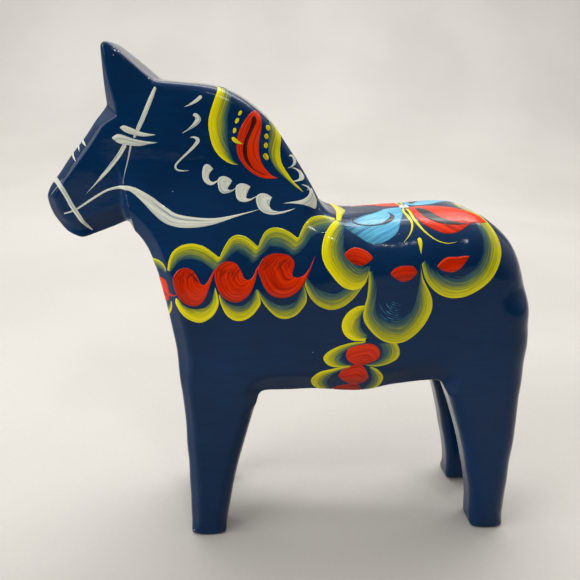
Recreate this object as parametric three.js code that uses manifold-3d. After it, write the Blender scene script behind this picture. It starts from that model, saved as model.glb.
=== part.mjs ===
// A 300 mm dala horse, carved from a blank that is glued up from nine planed pine boards.
//
// Frame: millimetres, +Z up, origin on the ground under the middle of the horse. The horse faces -X
// and its left side is -Y. The blank is three layers thick. The two outer layers carry the legs, the
// core layer between them carries none, and so the space between the legs is as wide as the core
// board is thick. Each layer is three boards glued edge to edge, with the grain upright, along the
// legs. The joints of the core lie away from the joints of the outer layers.

import * as THREE from 'three';
import { ConvexGeometry } from 'three/addons/geometries/ConvexGeometry.js';
import { TessellateModifier } from 'three/addons/modifiers/TessellateModifier.js';
import { mergeVertices } from 'three/addons/utils/BufferGeometryUtils.js';
import Module from 'manifold-3d';

const manifoldLibrary = await Module();
manifoldLibrary.setup();

// ---- Driving dimensions (mm) --------------------------------------------------------------------

const LENGTH = 288.6;          // nose to rump
const BODY_HALF_WIDTH = 41;    // flank
const FOOT_HALF_WIDTH = 38.6;  // outer face of a leg at the ground
const HEAD_HALF_WIDTH = 20;    // cheek
const NOSE_HALF_WIDTH = 16.5;
const EAR_TIP_HALF_WIDTH = 18;

const BELLY_HEIGHT = 101.3;    // lowest point of the belly
const HIND_ARCH_HEIGHT = 107.8; // top of the arch at the hind leg
const NECK_FLARE_BOTTOM = 165; // below this height the neck is as wide as the body
const NECK_FLARE_TOP = 240;    // above this height the neck is as wide as the head
const EAR_BASE_HEIGHT = 270;
const EAR_TIP_HEIGHT = 300;
const CHEEK_X = -95;           // the head tapers from here to the nose
const WITHERS_START_X = -5;    // the neck's edge turns into the back's between these two
const WITHERS_END_X = 35;

const CORE_THICKNESS = 28;     // planed board between the legs
const GLUE_GAP = 0.3;          // clearance kept between neighbouring boards
const OUTER_BOARD_WIDTH = 120; // front and middle boards of an outer layer
const CORE_FRONT_WIDTH = 95;
const CORE_MIDDLE_WIDTH = 120;

const OUTLINE_STEP = 7;        // spacing of the outline's points
const RIM_WIDTH = 2;           // a row of points this far in from the outline shapes the edges
const LARGEST_EDGE = 14;       // longest triangle edge on the carved sides
const FINISH_BLEND = 1;        // outline points over which one edge finish fades into the next

const NAVY_LACQUER = 0x10294d;

// ---- Side outline -------------------------------------------------------------------------------
// Each stretch runs anticlockwise from the end of the one before. `round` is the radius of its
// edge. `cut` is a knife-cut chamfer: how far it reaches in from the outline, and how deep it goes
// down the horse's width.

const noCut = [0, 0];
const stretches = [
  { name: 'front sole', round: 1, cut: noCut, points: [[-65.8, 0], [-43.2, 0]] },
  { name: 'front leg back', round: 8, cut: noCut,
    points: [[-43.2, 0], [-42, 12], [-39.5, 30], [-35.4, 50], [-30.8, 70], [-27, 85], [-24, 97]] },
  { name: 'front arch', round: 2, cut: [11, 8],
    points: [[-24, 97], [-22.8, 100.2], [-20.5, 101.5]] },
  { name: 'belly', round: 2, cut: [15, 10],
    points: [[-20.5, 101.5], [0, BELLY_HEIGHT], [43, BELLY_HEIGHT], [60, 104], [73, 106.3],
      [86, HIND_ARCH_HEIGHT]] },
  { name: 'hind arch', round: 2, cut: [11, 8],
    points: [[86, HIND_ARCH_HEIGHT], [90.5, 107], [94, 101]] },
  { name: 'hind leg front', round: 8, cut: noCut,
    points: [[94, 101], [103.6, 77], [109, 60], [113.6, 42], [117, 30], [119.8, 15], [120.8, 0]] },
  { name: 'hind sole', round: 1, cut: noCut, points: [[120.8, 0], [143.4, 0]] },
  { name: 'hind leg back', round: 11, cut: noCut,
    points: [[143.4, 0], [143.8, 12], [143, 60], [142.3, 95], [142.8, 112]] },
  { name: 'hock to rump', round: 15, cut: noCut, points: [[142.8, 112], [LENGTH / 2, 138]] },
  { name: 'rump', round: 20, cut: noCut,
    points: [[LENGTH / 2, 138], [143.8, 150], [141.8, 162]] },
  { name: 'croup', round: 28, cut: noCut,
    points: [[141.8, 162], [139, 173], [134.7, 184], [129.5, 192.7], [123.5, 199], [116, 204.6],
      [108, 209], [98, 211.8]] },
  { name: 'back', round: 33, cut: noCut,
    points: [[98, 211.8], [88, 212.3], [70, 211], [50, 209.1], [35, 208], [26, 208.2]] },
  { name: 'withers', round: 20, cut: noCut,
    points: [[26, 208.2], [20, 209.3], [16, 211.5], [12.5, 215.5], [9.5, 220.5]] },
  { name: 'crest', round: 7, cut: noCut,
    points: [[9.5, 220.5], [5, 227.5], [0, 235.5], [-7, 246.5], [-14, 256.4], [-22, 264.4],
      [-32, 271.4], [-42, 276.4], [-49, 278.6], [-56, 279.8]] },
  { name: 'poll', round: 5, cut: noCut, points: [[-56, 279.8], [-81, 281.3]] },
  { name: 'ear back', round: 1.5, cut: noCut, points: [[-81, 281.3], [-104.8, 299.6]] },
  { name: 'ear tip back', round: 1.5, cut: noCut,
    points: [[-104.8, 299.6], [-107, EAR_TIP_HEIGHT]] },
  { name: 'ear tip front', round: 1.5, cut: noCut,
    points: [[-107, EAR_TIP_HEIGHT], [-108.8, 298.2]] },
  { name: 'ear front', round: 1.5, cut: noCut, points: [[-108.8, 298.2], [-108.6, 267]] },
  { name: 'brow', round: 1.5, cut: [5, 5], points: [[-108.6, 267], [-115.2, 259]] },
  { name: 'face', round: 1.5, cut: [5, 5],
    points: [[-115.2, 259], [-122, 248.8], [-130.1, 238.6], [-136.2, 229.4], [-142, 222]] },
  { name: 'nose', round: 1.5, cut: [6, 6], points: [[-142, 222], [-LENGTH / 2, 217.3]] },
  { name: 'lip', round: 1.5, cut: [7, 6],
    points: [[-LENGTH / 2, 217.3], [-143.6, 211.6], [-140.3, 204.2], [-134.4, 197.4], [-127.2, 193.4]] },
  { name: 'jaw', round: 1.5, cut: [10, 8],
    points: [[-127.2, 193.4], [-122, 194], [-99.6, 203.2]] },
  { name: 'chest', round: 2, cut: [9, 9],
    points: [[-99.6, 203.2], [-92.8, 197], [-87.8, 190], [-84.7, 183], [-81.6, 174], [-77.4, 157],
      [-73.5, 136], [-71, 116]] },
  { name: 'front leg front', round: 6, cut: [5, 5],
    points: [[-71, 116], [-69, 95], [-67.7, 75], [-66.7, 54], [-66.2, 30], [-65.8, 0]] },
];

/** The outline as a closed ring of evenly spaced points, each with its edge finish. */
function outlineRing() {
  const ring = [];
  for (const stretch of stretches) {
    const points = stretch.points.map(([x, z]) => new THREE.Vector2(x, z));
    const curve = points.length > 2
      ? new THREE.SplineCurve(points)
      : new THREE.LineCurve(points[0], points[1]);
    const steps = Math.max(1, Math.round(curve.getLength() / OUTLINE_STEP));
    for (let step = 0; step < steps; step++) {
      const at = curve.getPointAt(step / steps);
      ring.push({ x: at.x, z: at.y, finish: [stretch.round, ...stretch.cut] });
    }
  }
  return ring;
}

/** Lets the edge finish change gradually along the ring. */
function blendFinishes(ring) {
  return ring.map((point, index) => {
    const finish = [0, 0, 0];
    for (let offset = -FINISH_BLEND; offset <= FINISH_BLEND; offset++) {
      const neighbour = ring[(index + offset + ring.length) % ring.length];
      neighbour.finish.forEach((value, i) => { finish[i] += value / (2 * FINISH_BLEND + 1); });
    }
    return { x: point.x, z: point.z, finish };
  });
}

const ring = blendFinishes(outlineRing());

// ---- Width of the horse -------------------------------------------------------------------------

/** Distance from a point of the side view to the outline, and the edge finish of the nearest spot. */
function nearestOutline(x, z) {
  let best = { distance: Infinity, finish: null };
  ring.forEach((start, index) => {
    const end = ring[(index + 1) % ring.length];
    const runX = end.x - start.x;
    const runZ = end.z - start.z;
    const along = ((x - start.x) * runX + (z - start.z) * runZ) / (runX * runX + runZ * runZ);
    const t = THREE.MathUtils.clamp(along, 0, 1);
    const distance = Math.hypot(x - start.x - t * runX, z - start.z - t * runZ);
    if (distance < best.distance) {
      const finish = start.finish.map((value, i) => THREE.MathUtils.lerp(value, end.finish[i], t));
      best = { distance, finish };
    }
  });
  return best;
}

/** How much narrower the horse is at a point because of its rounded or cut edge. */
function edgeDrop(x, z) {
  const { distance, finish: [radius, cutReach, cutDepth] } = nearestOutline(x, z);
  const fromCentre = Math.max(0, radius - distance);
  const roundDrop = radius - Math.sqrt(radius * radius - fromCentre * fromCentre);
  const cutDrop = cutReach > 0 ? Math.max(0, 1 - distance / cutReach) * cutDepth : 0;
  return Math.max(roundDrop, cutDrop);
}

/** Half the horse's width at a point of the side view, edges left out. */
function plainHalfWidth(x, z) {
  const { smoothstep, lerp, clamp } = THREE.MathUtils;
  const bodyWidth = lerp(FOOT_HALF_WIDTH, BODY_HALF_WIDTH, clamp(z / BELLY_HEIGHT, 0, 1));
  const towardsNose = clamp((CHEEK_X - x) / (CHEEK_X + LENGTH / 2), 0, 1);
  const towardsEar = clamp((z - EAR_BASE_HEIGHT) / (EAR_TIP_HEIGHT - EAR_BASE_HEIGHT), 0, 1);
  const headWidth = lerp(HEAD_HALF_WIDTH, NOSE_HALF_WIDTH, towardsNose)
    - towardsEar * (HEAD_HALF_WIDTH - EAR_TIP_HALF_WIDTH);
  const upTheNeck = smoothstep(z, NECK_FLARE_BOTTOM, NECK_FLARE_TOP);
  const beforeBack = 1 - smoothstep(x, WITHERS_START_X, WITHERS_END_X);
  const inHead = smoothstep(-x, -CHEEK_X - 6, -CHEEK_X + 6) * smoothstep(z, 180, 200);
  return lerp(bodyWidth, headWidth, Math.max(upTheNeck * beforeBack, inHead));
}

// ---- Solids -------------------------------------------------------------------------------------

function toSolid(geometry) {
  const bare = geometry.clone();
  bare.deleteAttribute('normal');
  bare.deleteAttribute('uv');
  const merged = mergeVertices(bare, 1e-4);
  return new manifoldLibrary.Manifold(new manifoldLibrary.Mesh({
    numProp: 3,
    vertProperties: new Float32Array(merged.attributes.position.array),
    triVerts: new Uint32Array(merged.index.array),
  }));
}

function toGeometry(solid) {
  const { numProp, vertProperties, triVerts } = solid.getMesh();
  const positions = new Float32Array(triVerts.length * 3);
  triVerts.forEach((vertex, corner) => {
    positions.set(vertProperties.subarray(vertex * numProp, vertex * numProp + 3), corner * 3);
  });
  const geometry = new THREE.BufferGeometry();
  geometry.setAttribute('position', new THREE.BufferAttribute(positions, 3));
  geometry.computeVertexNormals();
  return geometry;
}

/** A block between two corners. */
function block([x0, y0, z0], [x1, y1, z1]) {
  const geometry = new THREE.BoxGeometry(x1 - x0, y1 - y0, z1 - z0);
  geometry.translate((x0 + x1) / 2, (y0 + y1) / 2, (z0 + z1) / 2);
  return toSolid(geometry);
}

/** A side-view shape, pushed through to the given half width and stood upright. */
function extrudeSideView(points, halfWidth, bevel = { bevelEnabled: false }) {
  const shape = new THREE.Shape(points.map(({ x, z }) => new THREE.Vector2(x, z)));
  const geometry = new THREE.ExtrudeGeometry(shape, { depth: 2 * halfWidth, ...bevel });
  geometry.translate(0, 0, -halfWidth);
  geometry.rotateX(Math.PI / 2);
  return geometry;
}

/** The carved horse, without the space between its legs: a thin slab whose two sides are moved out. */
function carvedHorse() {
  const slab = extrudeSideView(ring, 1, {
    bevelSegments: 1,
    bevelThickness: 1,
    bevelSize: RIM_WIDTH,
    bevelOffset: -RIM_WIDTH,
  });
  const fine = new TessellateModifier(LARGEST_EDGE, 12).modify(slab);
  const positions = fine.attributes.position;
  for (let i = 0; i < positions.count; i++) {
    const x = positions.getX(i);
    const z = positions.getZ(i);
    positions.setY(i, Math.sign(positions.getY(i)) * (plainHalfWidth(x, z) - edgeDrop(x, z)));
  }
  return toSolid(fine);
}

/** The wedge of wood that is whittled off the front corner of the ear, on one side. */
function earFacet(side) {
  const corners = [
    [-107.6, 18.4, 300.4],
    [-101, 20.2, 262],
    [-109.2, 9, 267],
    [-114, 14, 258],
    [-116, 40, 300.4],
    [-104, 44, 262],
    [-130, 6, 290],
    [-128, 30, 262],
  ];
  return toSolid(new ConvexGeometry(corners.map(([x, y, z]) => new THREE.Vector3(x, side * y, z))));
}

/** What the core layer keeps: everything above a line that runs on from the belly. */
function aboveTheLegs() {
  const far = LENGTH;
  const line = [[-far, BELLY_HEIGHT], [43, BELLY_HEIGHT], [86, HIND_ARCH_HEIGHT],
    [far, HIND_ARCH_HEIGHT], [far, far + 50], [-far, far + 50]];
  return toSolid(extrudeSideView(line.map(([x, z]) => ({ x, z })), BODY_HALF_WIDTH));
}

const horse = carvedHorse().subtract(earFacet(1)).subtract(earFacet(-1));

// ---- Boards -------------------------------------------------------------------------------------

const halfCore = CORE_THICKNESS / 2;
const halfGap = GLUE_GAP / 2;
const nose = -LENGTH / 2;
const outerJoints = [nose + OUTER_BOARD_WIDTH, nose + 2 * OUTER_BOARD_WIDTH];
const coreJoints = [nose + CORE_FRONT_WIDTH, nose + CORE_FRONT_WIDTH + CORE_MIDDLE_WIDTH];
const beyond = 10;             // how far a cutting block stands clear of the horse

const layers = [
  { name: 'left', inner: -halfCore, outer: -BODY_HALF_WIDTH - beyond, joints: outerJoints, of: horse },
  { name: 'core', inner: -halfCore, outer: halfCore, joints: coreJoints,
    of: horse.intersect(aboveTheLegs()) },
  { name: 'right', inner: halfCore, outer: BODY_HALF_WIDTH + beyond, joints: outerJoints, of: horse },
];

const group = new THREE.Group();

for (const layer of layers) {
  const low = Math.min(layer.inner, layer.outer) + halfGap;
  const high = Math.max(layer.inner, layer.outer) - halfGap;
  const cuts = [nose - beyond, ...layer.joints, LENGTH / 2 + beyond];
  ['front', 'middle', 'rear'].forEach((place, index) => {
    const cutter = block(
      [cuts[index] + halfGap, low, -beyond],
      [cuts[index + 1] - halfGap, high, EAR_TIP_HEIGHT + beyond],
    );
    const material = new THREE.MeshStandardMaterial({
      color: NAVY_LACQUER,
      roughness: 0.18,
      metalness: 0,
    });
    const board = new THREE.Mesh(toGeometry(layer.of.intersect(cutter)), material);
    board.name = `${layer.name}_${place}_board`;
    group.add(board);
  });
}

export default group;
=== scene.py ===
"""A dala horse: nine glued pine boards whittled to one smooth shape, lacquered navy, and painted by
hand with a loaded brush.

The carved surface is a function, carved(points), that is negative inside the wood. The boards and
every brush stroke are made from it. It works in millimetres in the frame's own axes: the horse
faces -X, its left side is -Y, and it stands on z = 0. Meshes are turned into metres as they are
made.
"""

import math

import bmesh
import bpy
import numpy as np
from mathutils import Matrix, Vector


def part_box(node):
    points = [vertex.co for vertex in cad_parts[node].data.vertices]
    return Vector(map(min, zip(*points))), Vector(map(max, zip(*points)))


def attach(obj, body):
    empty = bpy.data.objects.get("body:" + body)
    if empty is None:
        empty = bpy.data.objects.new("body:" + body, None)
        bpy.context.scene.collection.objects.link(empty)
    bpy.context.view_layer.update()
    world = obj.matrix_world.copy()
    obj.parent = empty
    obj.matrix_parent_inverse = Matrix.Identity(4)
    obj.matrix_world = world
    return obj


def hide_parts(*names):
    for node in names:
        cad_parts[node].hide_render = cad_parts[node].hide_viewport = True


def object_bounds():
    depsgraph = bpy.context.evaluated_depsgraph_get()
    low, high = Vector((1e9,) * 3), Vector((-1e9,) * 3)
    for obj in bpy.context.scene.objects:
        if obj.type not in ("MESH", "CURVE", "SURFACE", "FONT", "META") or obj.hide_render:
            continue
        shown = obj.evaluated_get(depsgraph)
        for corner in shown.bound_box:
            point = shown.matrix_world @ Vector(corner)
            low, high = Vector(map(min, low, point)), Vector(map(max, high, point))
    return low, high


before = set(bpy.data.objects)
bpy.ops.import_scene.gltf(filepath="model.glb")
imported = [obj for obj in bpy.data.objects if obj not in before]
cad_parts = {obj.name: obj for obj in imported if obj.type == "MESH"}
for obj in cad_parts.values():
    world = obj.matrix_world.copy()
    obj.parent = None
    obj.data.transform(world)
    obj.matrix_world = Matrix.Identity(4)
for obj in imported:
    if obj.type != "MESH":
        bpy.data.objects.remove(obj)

cad_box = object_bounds()

MM = 0.001
NEAR, FAR = -1, 1              # the horse's two sides, by the sign of y

# ---- Sizes, in millimetres ----------------------------------------------------------------------

box_low, box_high = (np.array(corner) / MM for corner in cad_box)
HALF_LENGTH = box_high[0]      # nose and rump are this far from the middle
BODY_HALF_WIDTH = box_high[1]
EAR_TIP_HEIGHT = box_high[2]

FOOT_HALF_WIDTH = 38.6
HEAD_HALF_WIDTH = 20.0
NOSE_HALF_WIDTH = 16.5
EAR_TIP_HALF_WIDTH = 18.0
BELLY_HEIGHT = 101.3
HIND_ARCH_HEIGHT = 107.8
HIND_ARCH_RISE = (43.0, 86.0)  # the belly rises to the hind arch between these two x
NECK_FLARE = (165.0, 240.0)    # the neck narrows from the body to the head over these heights
EAR_BASE_HEIGHT = 270.0
CHEEK_X = -95.0
CHEEK_BLEND = 8.0
THROAT_BLEND = (178.0, 202.0)  # heights over which the throat turns into the head
WITHERS_X = (-5.0, 35.0)       # the neck widens into the back between these two
BETWEEN_LEGS = 14.9            # half the space between left and right legs
LEG_TOP_ROUND = 8.0
INNER_EDGE_ROUND = 7.0
CUT_EDGE_ROUND = 1.6
LEAST_CUT = 0.3                # where no knife cut is given, an edge has one this small
EAR_CUT_BLEND = 1.0            # rounds the corner between the two cuts at the front of an ear
EAR_EDGE_ROUND = 0.9
SOLE_FLAT_BELOW = 6.0          # the surface's waviness dies out towards the soles

GRID = 1.0                     # spacing of the side view's lookup grid
GRID_LOW = (-150.0, -6.0)
GRID_HIGH = (150.0, 306.0)
CURVE_SAMPLES = 24             # samples between two points of a curve
SURFACE_STEP = 1.05
SURFACE_MARGIN = 5.0           # the boards' surface is looked for this far past the CAD box
STROKE_STEP = 0.7
OUTSIDE = 100.0                # strokes are cast on the horse from this far off its middle

# The side outline, anticlockwise. Each stretch has the radius of its edge, a knife cut (how far it
# reaches in from the outline, and how deep it goes down the horse's width) and its points (x, z).
NO_CUT = (0, 0)
STRETCHES = [
    ("front sole", 1.2, NO_CUT, [(-65.8, 0), (-43.2, 0)]),
    ("front leg back", 9, NO_CUT,
     [(-43.2, 0), (-42, 12), (-39.5, 30), (-35.4, 50), (-30.8, 70), (-27, 85), (-24, 97)]),
    ("front arch", 2, (11, 8), [(-24, 97), (-22.8, 100.2), (-20.5, 101.5)]),
    ("belly", 2, (15, 10),
     [(-20.5, 101.5), (0, 101.3), (43, 101.3), (60, 104), (73, 106.3), (86, 107.8)]),
    ("hind arch", 2, (11, 8), [(86, 107.8), (90.5, 107), (94, 101)]),
    ("hind leg front", 9, NO_CUT,
     [(94, 101), (103.6, 77), (109, 60), (113.6, 42), (117, 30), (119.8, 15), (120.8, 0)]),
    ("hind sole", 1.2, NO_CUT, [(120.8, 0), (143.4, 0)]),
    ("hind leg back", 11, NO_CUT,
     [(143.4, 0), (143.8, 12), (143, 60), (142.3, 95), (142.8, 112)]),
    ("hock to rump", 15, NO_CUT, [(142.8, 112), (144.3, 138)]),
    ("rump", 20, NO_CUT, [(144.3, 138), (143.8, 150), (141.8, 162)]),
    ("croup", 28, NO_CUT,
     [(141.8, 162), (139, 173), (134.7, 184), (129.5, 192.7), (123.5, 199), (116, 204.6),
      (108, 209), (98, 211.8)]),
    ("back", 33, NO_CUT,
     [(98, 211.8), (88, 212.3), (70, 211), (50, 209.1), (35, 208), (26, 208.2)]),
    ("withers", 20, NO_CUT,
     [(26, 208.2), (20, 209.3), (16, 211.5), (12.5, 215.5), (9.5, 220.5)]),
    ("crest", 7, NO_CUT,
     [(9.5, 220.5), (5, 227.5), (0, 235.5), (-7, 246.5), (-14, 256.4), (-22, 264.4),
      (-32, 271.4), (-42, 276.4), (-49, 278.6), (-56, 279.8)]),
    ("poll", 5, NO_CUT, [(-56, 279.8), (-81, 281.3)]),
    ("ear back", 1.5, NO_CUT, [(-81, 281.3), (-104.8, 299.6)]),
    ("ear tip back", 1.5, NO_CUT, [(-104.8, 299.6), (-107, 300)]),
    ("ear tip front", 1.5, NO_CUT, [(-107, 300), (-108.8, 298.2)]),
    ("ear front", 1.5, NO_CUT, [(-108.8, 298.2), (-108.6, 267)]),
    ("brow", 1.5, (5, 5), [(-108.6, 267), (-115.2, 259)]),
    ("face", 1.5, (5, 5),
     [(-115.2, 259), (-122, 248.8), (-130.1, 238.6), (-136.8, 229.4), (-143.2, 221.8)]),
    ("nose", 1.5, (6, 6), [(-143.2, 221.8), (-145.7, 217.1)]),
    ("lip", 1.5, (7, 6),
     [(-145.7, 217.1), (-145.2, 211.4), (-141.9, 203.8), (-135.4, 196.9), (-127.4, 193.3)]),
    ("jaw", 1.5, (10, 8), [(-127.4, 193.3), (-122, 194), (-99.6, 203.2)]),
    ("chest", 2, (9, 9),
     [(-99.6, 203.2), (-92.8, 197), (-87.8, 190), (-84.7, 183), (-81.6, 174), (-77.4, 157),
      (-73.5, 136), (-71, 116)]),
    ("front leg front", 6, (6, 6),
     [(-71, 116), (-69, 95), (-67.7, 75), (-66.7, 54), (-66.2, 30), (-65.8, 0)]),
]
OUTLINE_STEP = 1.0
FINISH_FADE = 6                # outline points over which one stretch's edge turns into the next
CORNER_WEIGHTS = ((-2, 0.06), (-1, 0.24), (0, 0.4), (1, 0.24), (2, 0.06))

# Two knife cuts shape the front of each ear: three points (x, y, z) on each cut's plane.
EAR_CUT = ((-107.4, 18.2, 300), (-101.2, 20, 262), (-108.9, 9, 267))
BROW_CUT = ((-101.2, 20, 262), (-108.9, 9, 267), (-114.6, 15, 258))


# ---- The carved surface -------------------------------------------------------------------------

def smoothstep(value, low, high):
    t = np.clip((value - low) / (high - low), 0.0, 1.0)
    return t * t * (3.0 - 2.0 * t)


def smooth_max(a, b, blend):
    """The larger of a and b, with the corner between them rounded."""
    return np.maximum(a, b) + np.maximum(blend - np.abs(a - b), 0.0) ** 2 / (4.0 * blend)


def curve_through(points, count=None, step=None):
    """Points spread evenly along a Catmull-Rom curve, by count or about a step apart."""
    points = np.array(points, float)
    before = np.vstack([points[:1], points[:-2]])
    after = np.vstack([points[2:], points[-1:]])
    starts, ends = points[:-1], points[1:]
    t = np.linspace(0, 1, CURVE_SAMPLES, endpoint=False)[None, :, None]
    leave, arrive = (ends - before)[:, None] / 2, (after - starts)[:, None] / 2
    start, end = starts[:, None], ends[:, None]
    dense = ((2 * start - 2 * end + leave + arrive) * t ** 3
             + (-3 * start + 3 * end - 2 * leave - arrive) * t ** 2 + leave * t + start)
    dense = np.vstack([dense.reshape(-1, points.shape[1]), points[-1:]])
    run = np.concatenate([[0], np.cumsum(np.linalg.norm(np.diff(dense, axis=0), axis=1))])
    if count is None:
        count = max(1, round(run[-1] / step)) + 1
    at = np.linspace(0, run[-1], count)
    return np.stack([np.interp(at, run, column) for column in dense.T], 1)


def outline_ring():
    """The closed side outline, and the edge finish (radius, cut reach, cut depth) at each point."""
    ring, finish = [], []
    for _, radius, cut, points in STRETCHES:
        stretch = curve_through(points, step=OUTLINE_STEP)[:-1]
        ring.append(stretch)
        finish.append(np.tile([radius, *cut], (len(stretch), 1)))
    ring, finish = np.vstack(ring), np.vstack(finish).astype(float)
    ring = sum(np.roll(ring, k, 0) * weight for k, weight in CORNER_WEIGHTS)
    fade = range(-FINISH_FADE, FINISH_FADE + 1)
    return ring, sum(np.roll(finish, k, 0) for k in fade) / len(fade)


def soften(field, reach=2, rounds=3):
    """Repeated moving averages along both axes, which is close to a Gaussian blur."""
    for _ in range(rounds):
        for axis in (0, 1):
            field = sum(np.roll(field, k, axis) for k in range(-reach, reach + 1)) / (2 * reach + 1)
    return field


def side_view():
    """Grid over the side view of: distance to the outline, negative inside, and the edge finish."""
    ring, finish = outline_ring()
    ring_end, finish_end = np.roll(ring, -1, 0), np.roll(finish, -1, 0)
    run = ring_end - ring
    run_squared = (run ** 2).sum(1)
    xs = np.arange(GRID_LOW[0], GRID_HIGH[0] + GRID, GRID)
    zs = np.arange(GRID_LOW[1], GRID_HIGH[1] + GRID, GRID)
    rows = np.arange(len(xs))
    fields = np.zeros((len(xs), len(zs), 4))
    for k, z in enumerate(zs):
        dx, dz = xs[:, None] - ring[:, 0], z - ring[:, 1]
        t = np.clip((dx * run[:, 0] + dz * run[:, 1]) / run_squared, 0, 1)
        squared = (dx - t * run[:, 0]) ** 2 + (dz - t * run[:, 1]) ** 2
        near = squared.argmin(1)
        crosses = (ring[:, 1] > z) != (ring_end[:, 1] > z)
        start, end = ring[crosses], ring_end[crosses]
        x_cross = start[:, 0] + (z - start[:, 1]) / (end - start)[:, 1] * (end - start)[:, 0]
        inside = (xs[:, None] < x_cross).sum(1) % 2 == 1
        along = t[rows, near][:, None]
        fields[:, k, 0] = np.sqrt(squared[rows, near]) * np.where(inside, -1, 1)
        fields[:, k, 1:] = finish[near] * (1 - along) + finish_end[near] * along
    for column in (1, 2, 3):
        fields[:, :, column] = soften(fields[:, :, column])
    return fields


SIDE_VIEW = side_view()


def look_up(x, z):
    """Distance to the outline, edge radius, cut reach and cut depth at side view points."""
    u = np.clip((x - GRID_LOW[0]) / GRID, 0, SIDE_VIEW.shape[0] - 1.001)
    v = np.clip((z - GRID_LOW[1]) / GRID, 0, SIDE_VIEW.shape[1] - 1.001)
    i, j = u.astype(int), v.astype(int)
    u, v = (u - i)[..., None], (v - j)[..., None]
    low = SIDE_VIEW[i, j] * (1 - u) + SIDE_VIEW[i + 1, j] * u
    high = SIDE_VIEW[i, j + 1] * (1 - u) + SIDE_VIEW[i + 1, j + 1] * u
    return np.moveaxis(low * (1 - v) + high * v, -1, 0)


def half_width(x, z):
    body = FOOT_HALF_WIDTH + (BODY_HALF_WIDTH - FOOT_HALF_WIDTH) * np.clip(z / BELLY_HEIGHT, 0, 1)
    to_nose = np.clip((CHEEK_X - x) / (CHEEK_X + HALF_LENGTH), 0, 1)
    to_ear = np.clip((z - EAR_BASE_HEIGHT) / (EAR_TIP_HEIGHT - EAR_BASE_HEIGHT), 0, 1)
    head = HEAD_HALF_WIDTH + (NOSE_HALF_WIDTH - HEAD_HALF_WIDTH) * to_nose
    head = head - (HEAD_HALF_WIDTH - EAR_TIP_HALF_WIDTH) * to_ear
    neck = smoothstep(z, *NECK_FLARE) * (1 - smoothstep(x, *WITHERS_X))
    in_head = (smoothstep(-x, -CHEEK_X - CHEEK_BLEND, -CHEEK_X + CHEEK_BLEND)
               * smoothstep(z, *THROAT_BLEND))
    return body + (head - body) * np.maximum(neck, in_head)


def waves(seed=3, count=14, shortest=18.0, longest=55.0, steepness=0.0022):
    """Slow random waves that make the sanded faces a little uneven, as handwork is."""
    rng = np.random.default_rng(seed)
    ways = rng.normal(size=(count, 3))
    length = rng.uniform(shortest, longest, count)
    ways = ways / np.linalg.norm(ways, axis=1)[:, None] * (2 * math.pi / length)[:, None]
    return ways, rng.uniform(0, 2 * math.pi, count), steepness * length


WAVE_WAYS, WAVE_PHASES, WAVE_HEIGHTS = waves()


def cut_plane(points):
    """Unit normal, pointing out of the wood, and offset of a knife cut's plane."""
    a, b, c = (np.array(point, float) for point in points)
    normal = np.cross(b - a, c - a)
    normal *= np.sign(normal[1]) / np.linalg.norm(normal)
    return normal, normal @ a


EAR_PLANE, BROW_PLANE = cut_plane(EAR_CUT), cut_plane(BROW_CUT)


def carved(p):
    """Negative inside the wood, and near the surface the distance to it in millimetres."""
    x, y, z = p[..., 0], np.abs(p[..., 1]), p[..., 2]
    side, radius, reach, depth = look_up(x, z)
    reach, depth = np.maximum(reach, LEAST_CUT), np.maximum(depth, LEAST_CUT)
    width = y - half_width(x, z)
    a, b = side + radius, width + radius
    solid = np.minimum(np.maximum(a, b), 0) + np.hypot(np.maximum(a, 0), np.maximum(b, 0)) - radius
    knife = (side / reach + width / depth + 1) / np.hypot(1 / reach, 1 / depth)
    solid = smooth_max(solid, knife, CUT_EDGE_ROUND)
    arch = BELLY_HEIGHT + (HIND_ARCH_HEIGHT - BELLY_HEIGHT) * smoothstep(x, *HIND_ARCH_RISE)
    gap = smooth_max(y - BETWEEN_LEGS, z - arch, LEG_TOP_ROUND)
    solid = smooth_max(solid, -gap, INNER_EDGE_ROUND)
    mirrored = np.stack([x, y, z], -1)
    ear, brow = (mirrored @ normal - offset for normal, offset in (EAR_PLANE, BROW_PLANE))
    solid = smooth_max(solid, -smooth_max(-ear, -brow, EAR_CUT_BLEND), EAR_EDGE_ROUND)
    uneven = (np.sin(p @ WAVE_WAYS.T + WAVE_PHASES) * WAVE_HEIGHTS).sum(-1)
    return solid + uneven * smoothstep(z, 0, SOLE_FLAT_BELOW)


def slope(p, step=0.45):
    steps = np.eye(3) * step
    return np.stack([carved(p + e) - carved(p - e) for e in steps], -1) / (2 * step)


def facing(p):
    """Outward unit normals of the carved surface."""
    g = slope(p)
    return g / np.linalg.norm(g, axis=-1, keepdims=True)


def settle(p, rounds=3):
    """Moves points that are close to the surface onto it."""
    for _ in range(rounds):
        g = slope(p)
        p = p - g * (carved(p) / np.maximum((g ** 2).sum(-1), 1e-6))[..., None]
    return p


def cast(start, aim, rounds=18, caution=0.85):
    """Where rays from outside meet the surface. A ray goes a little less far than carved() says in
    each round, so that it doesn't jump past the surface."""
    gone = np.zeros(start.shape[:-1])
    for _ in range(rounds):
        gone = gone + caution * carved(start + aim * gone[..., None])
    return start + aim * gone[..., None]


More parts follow.
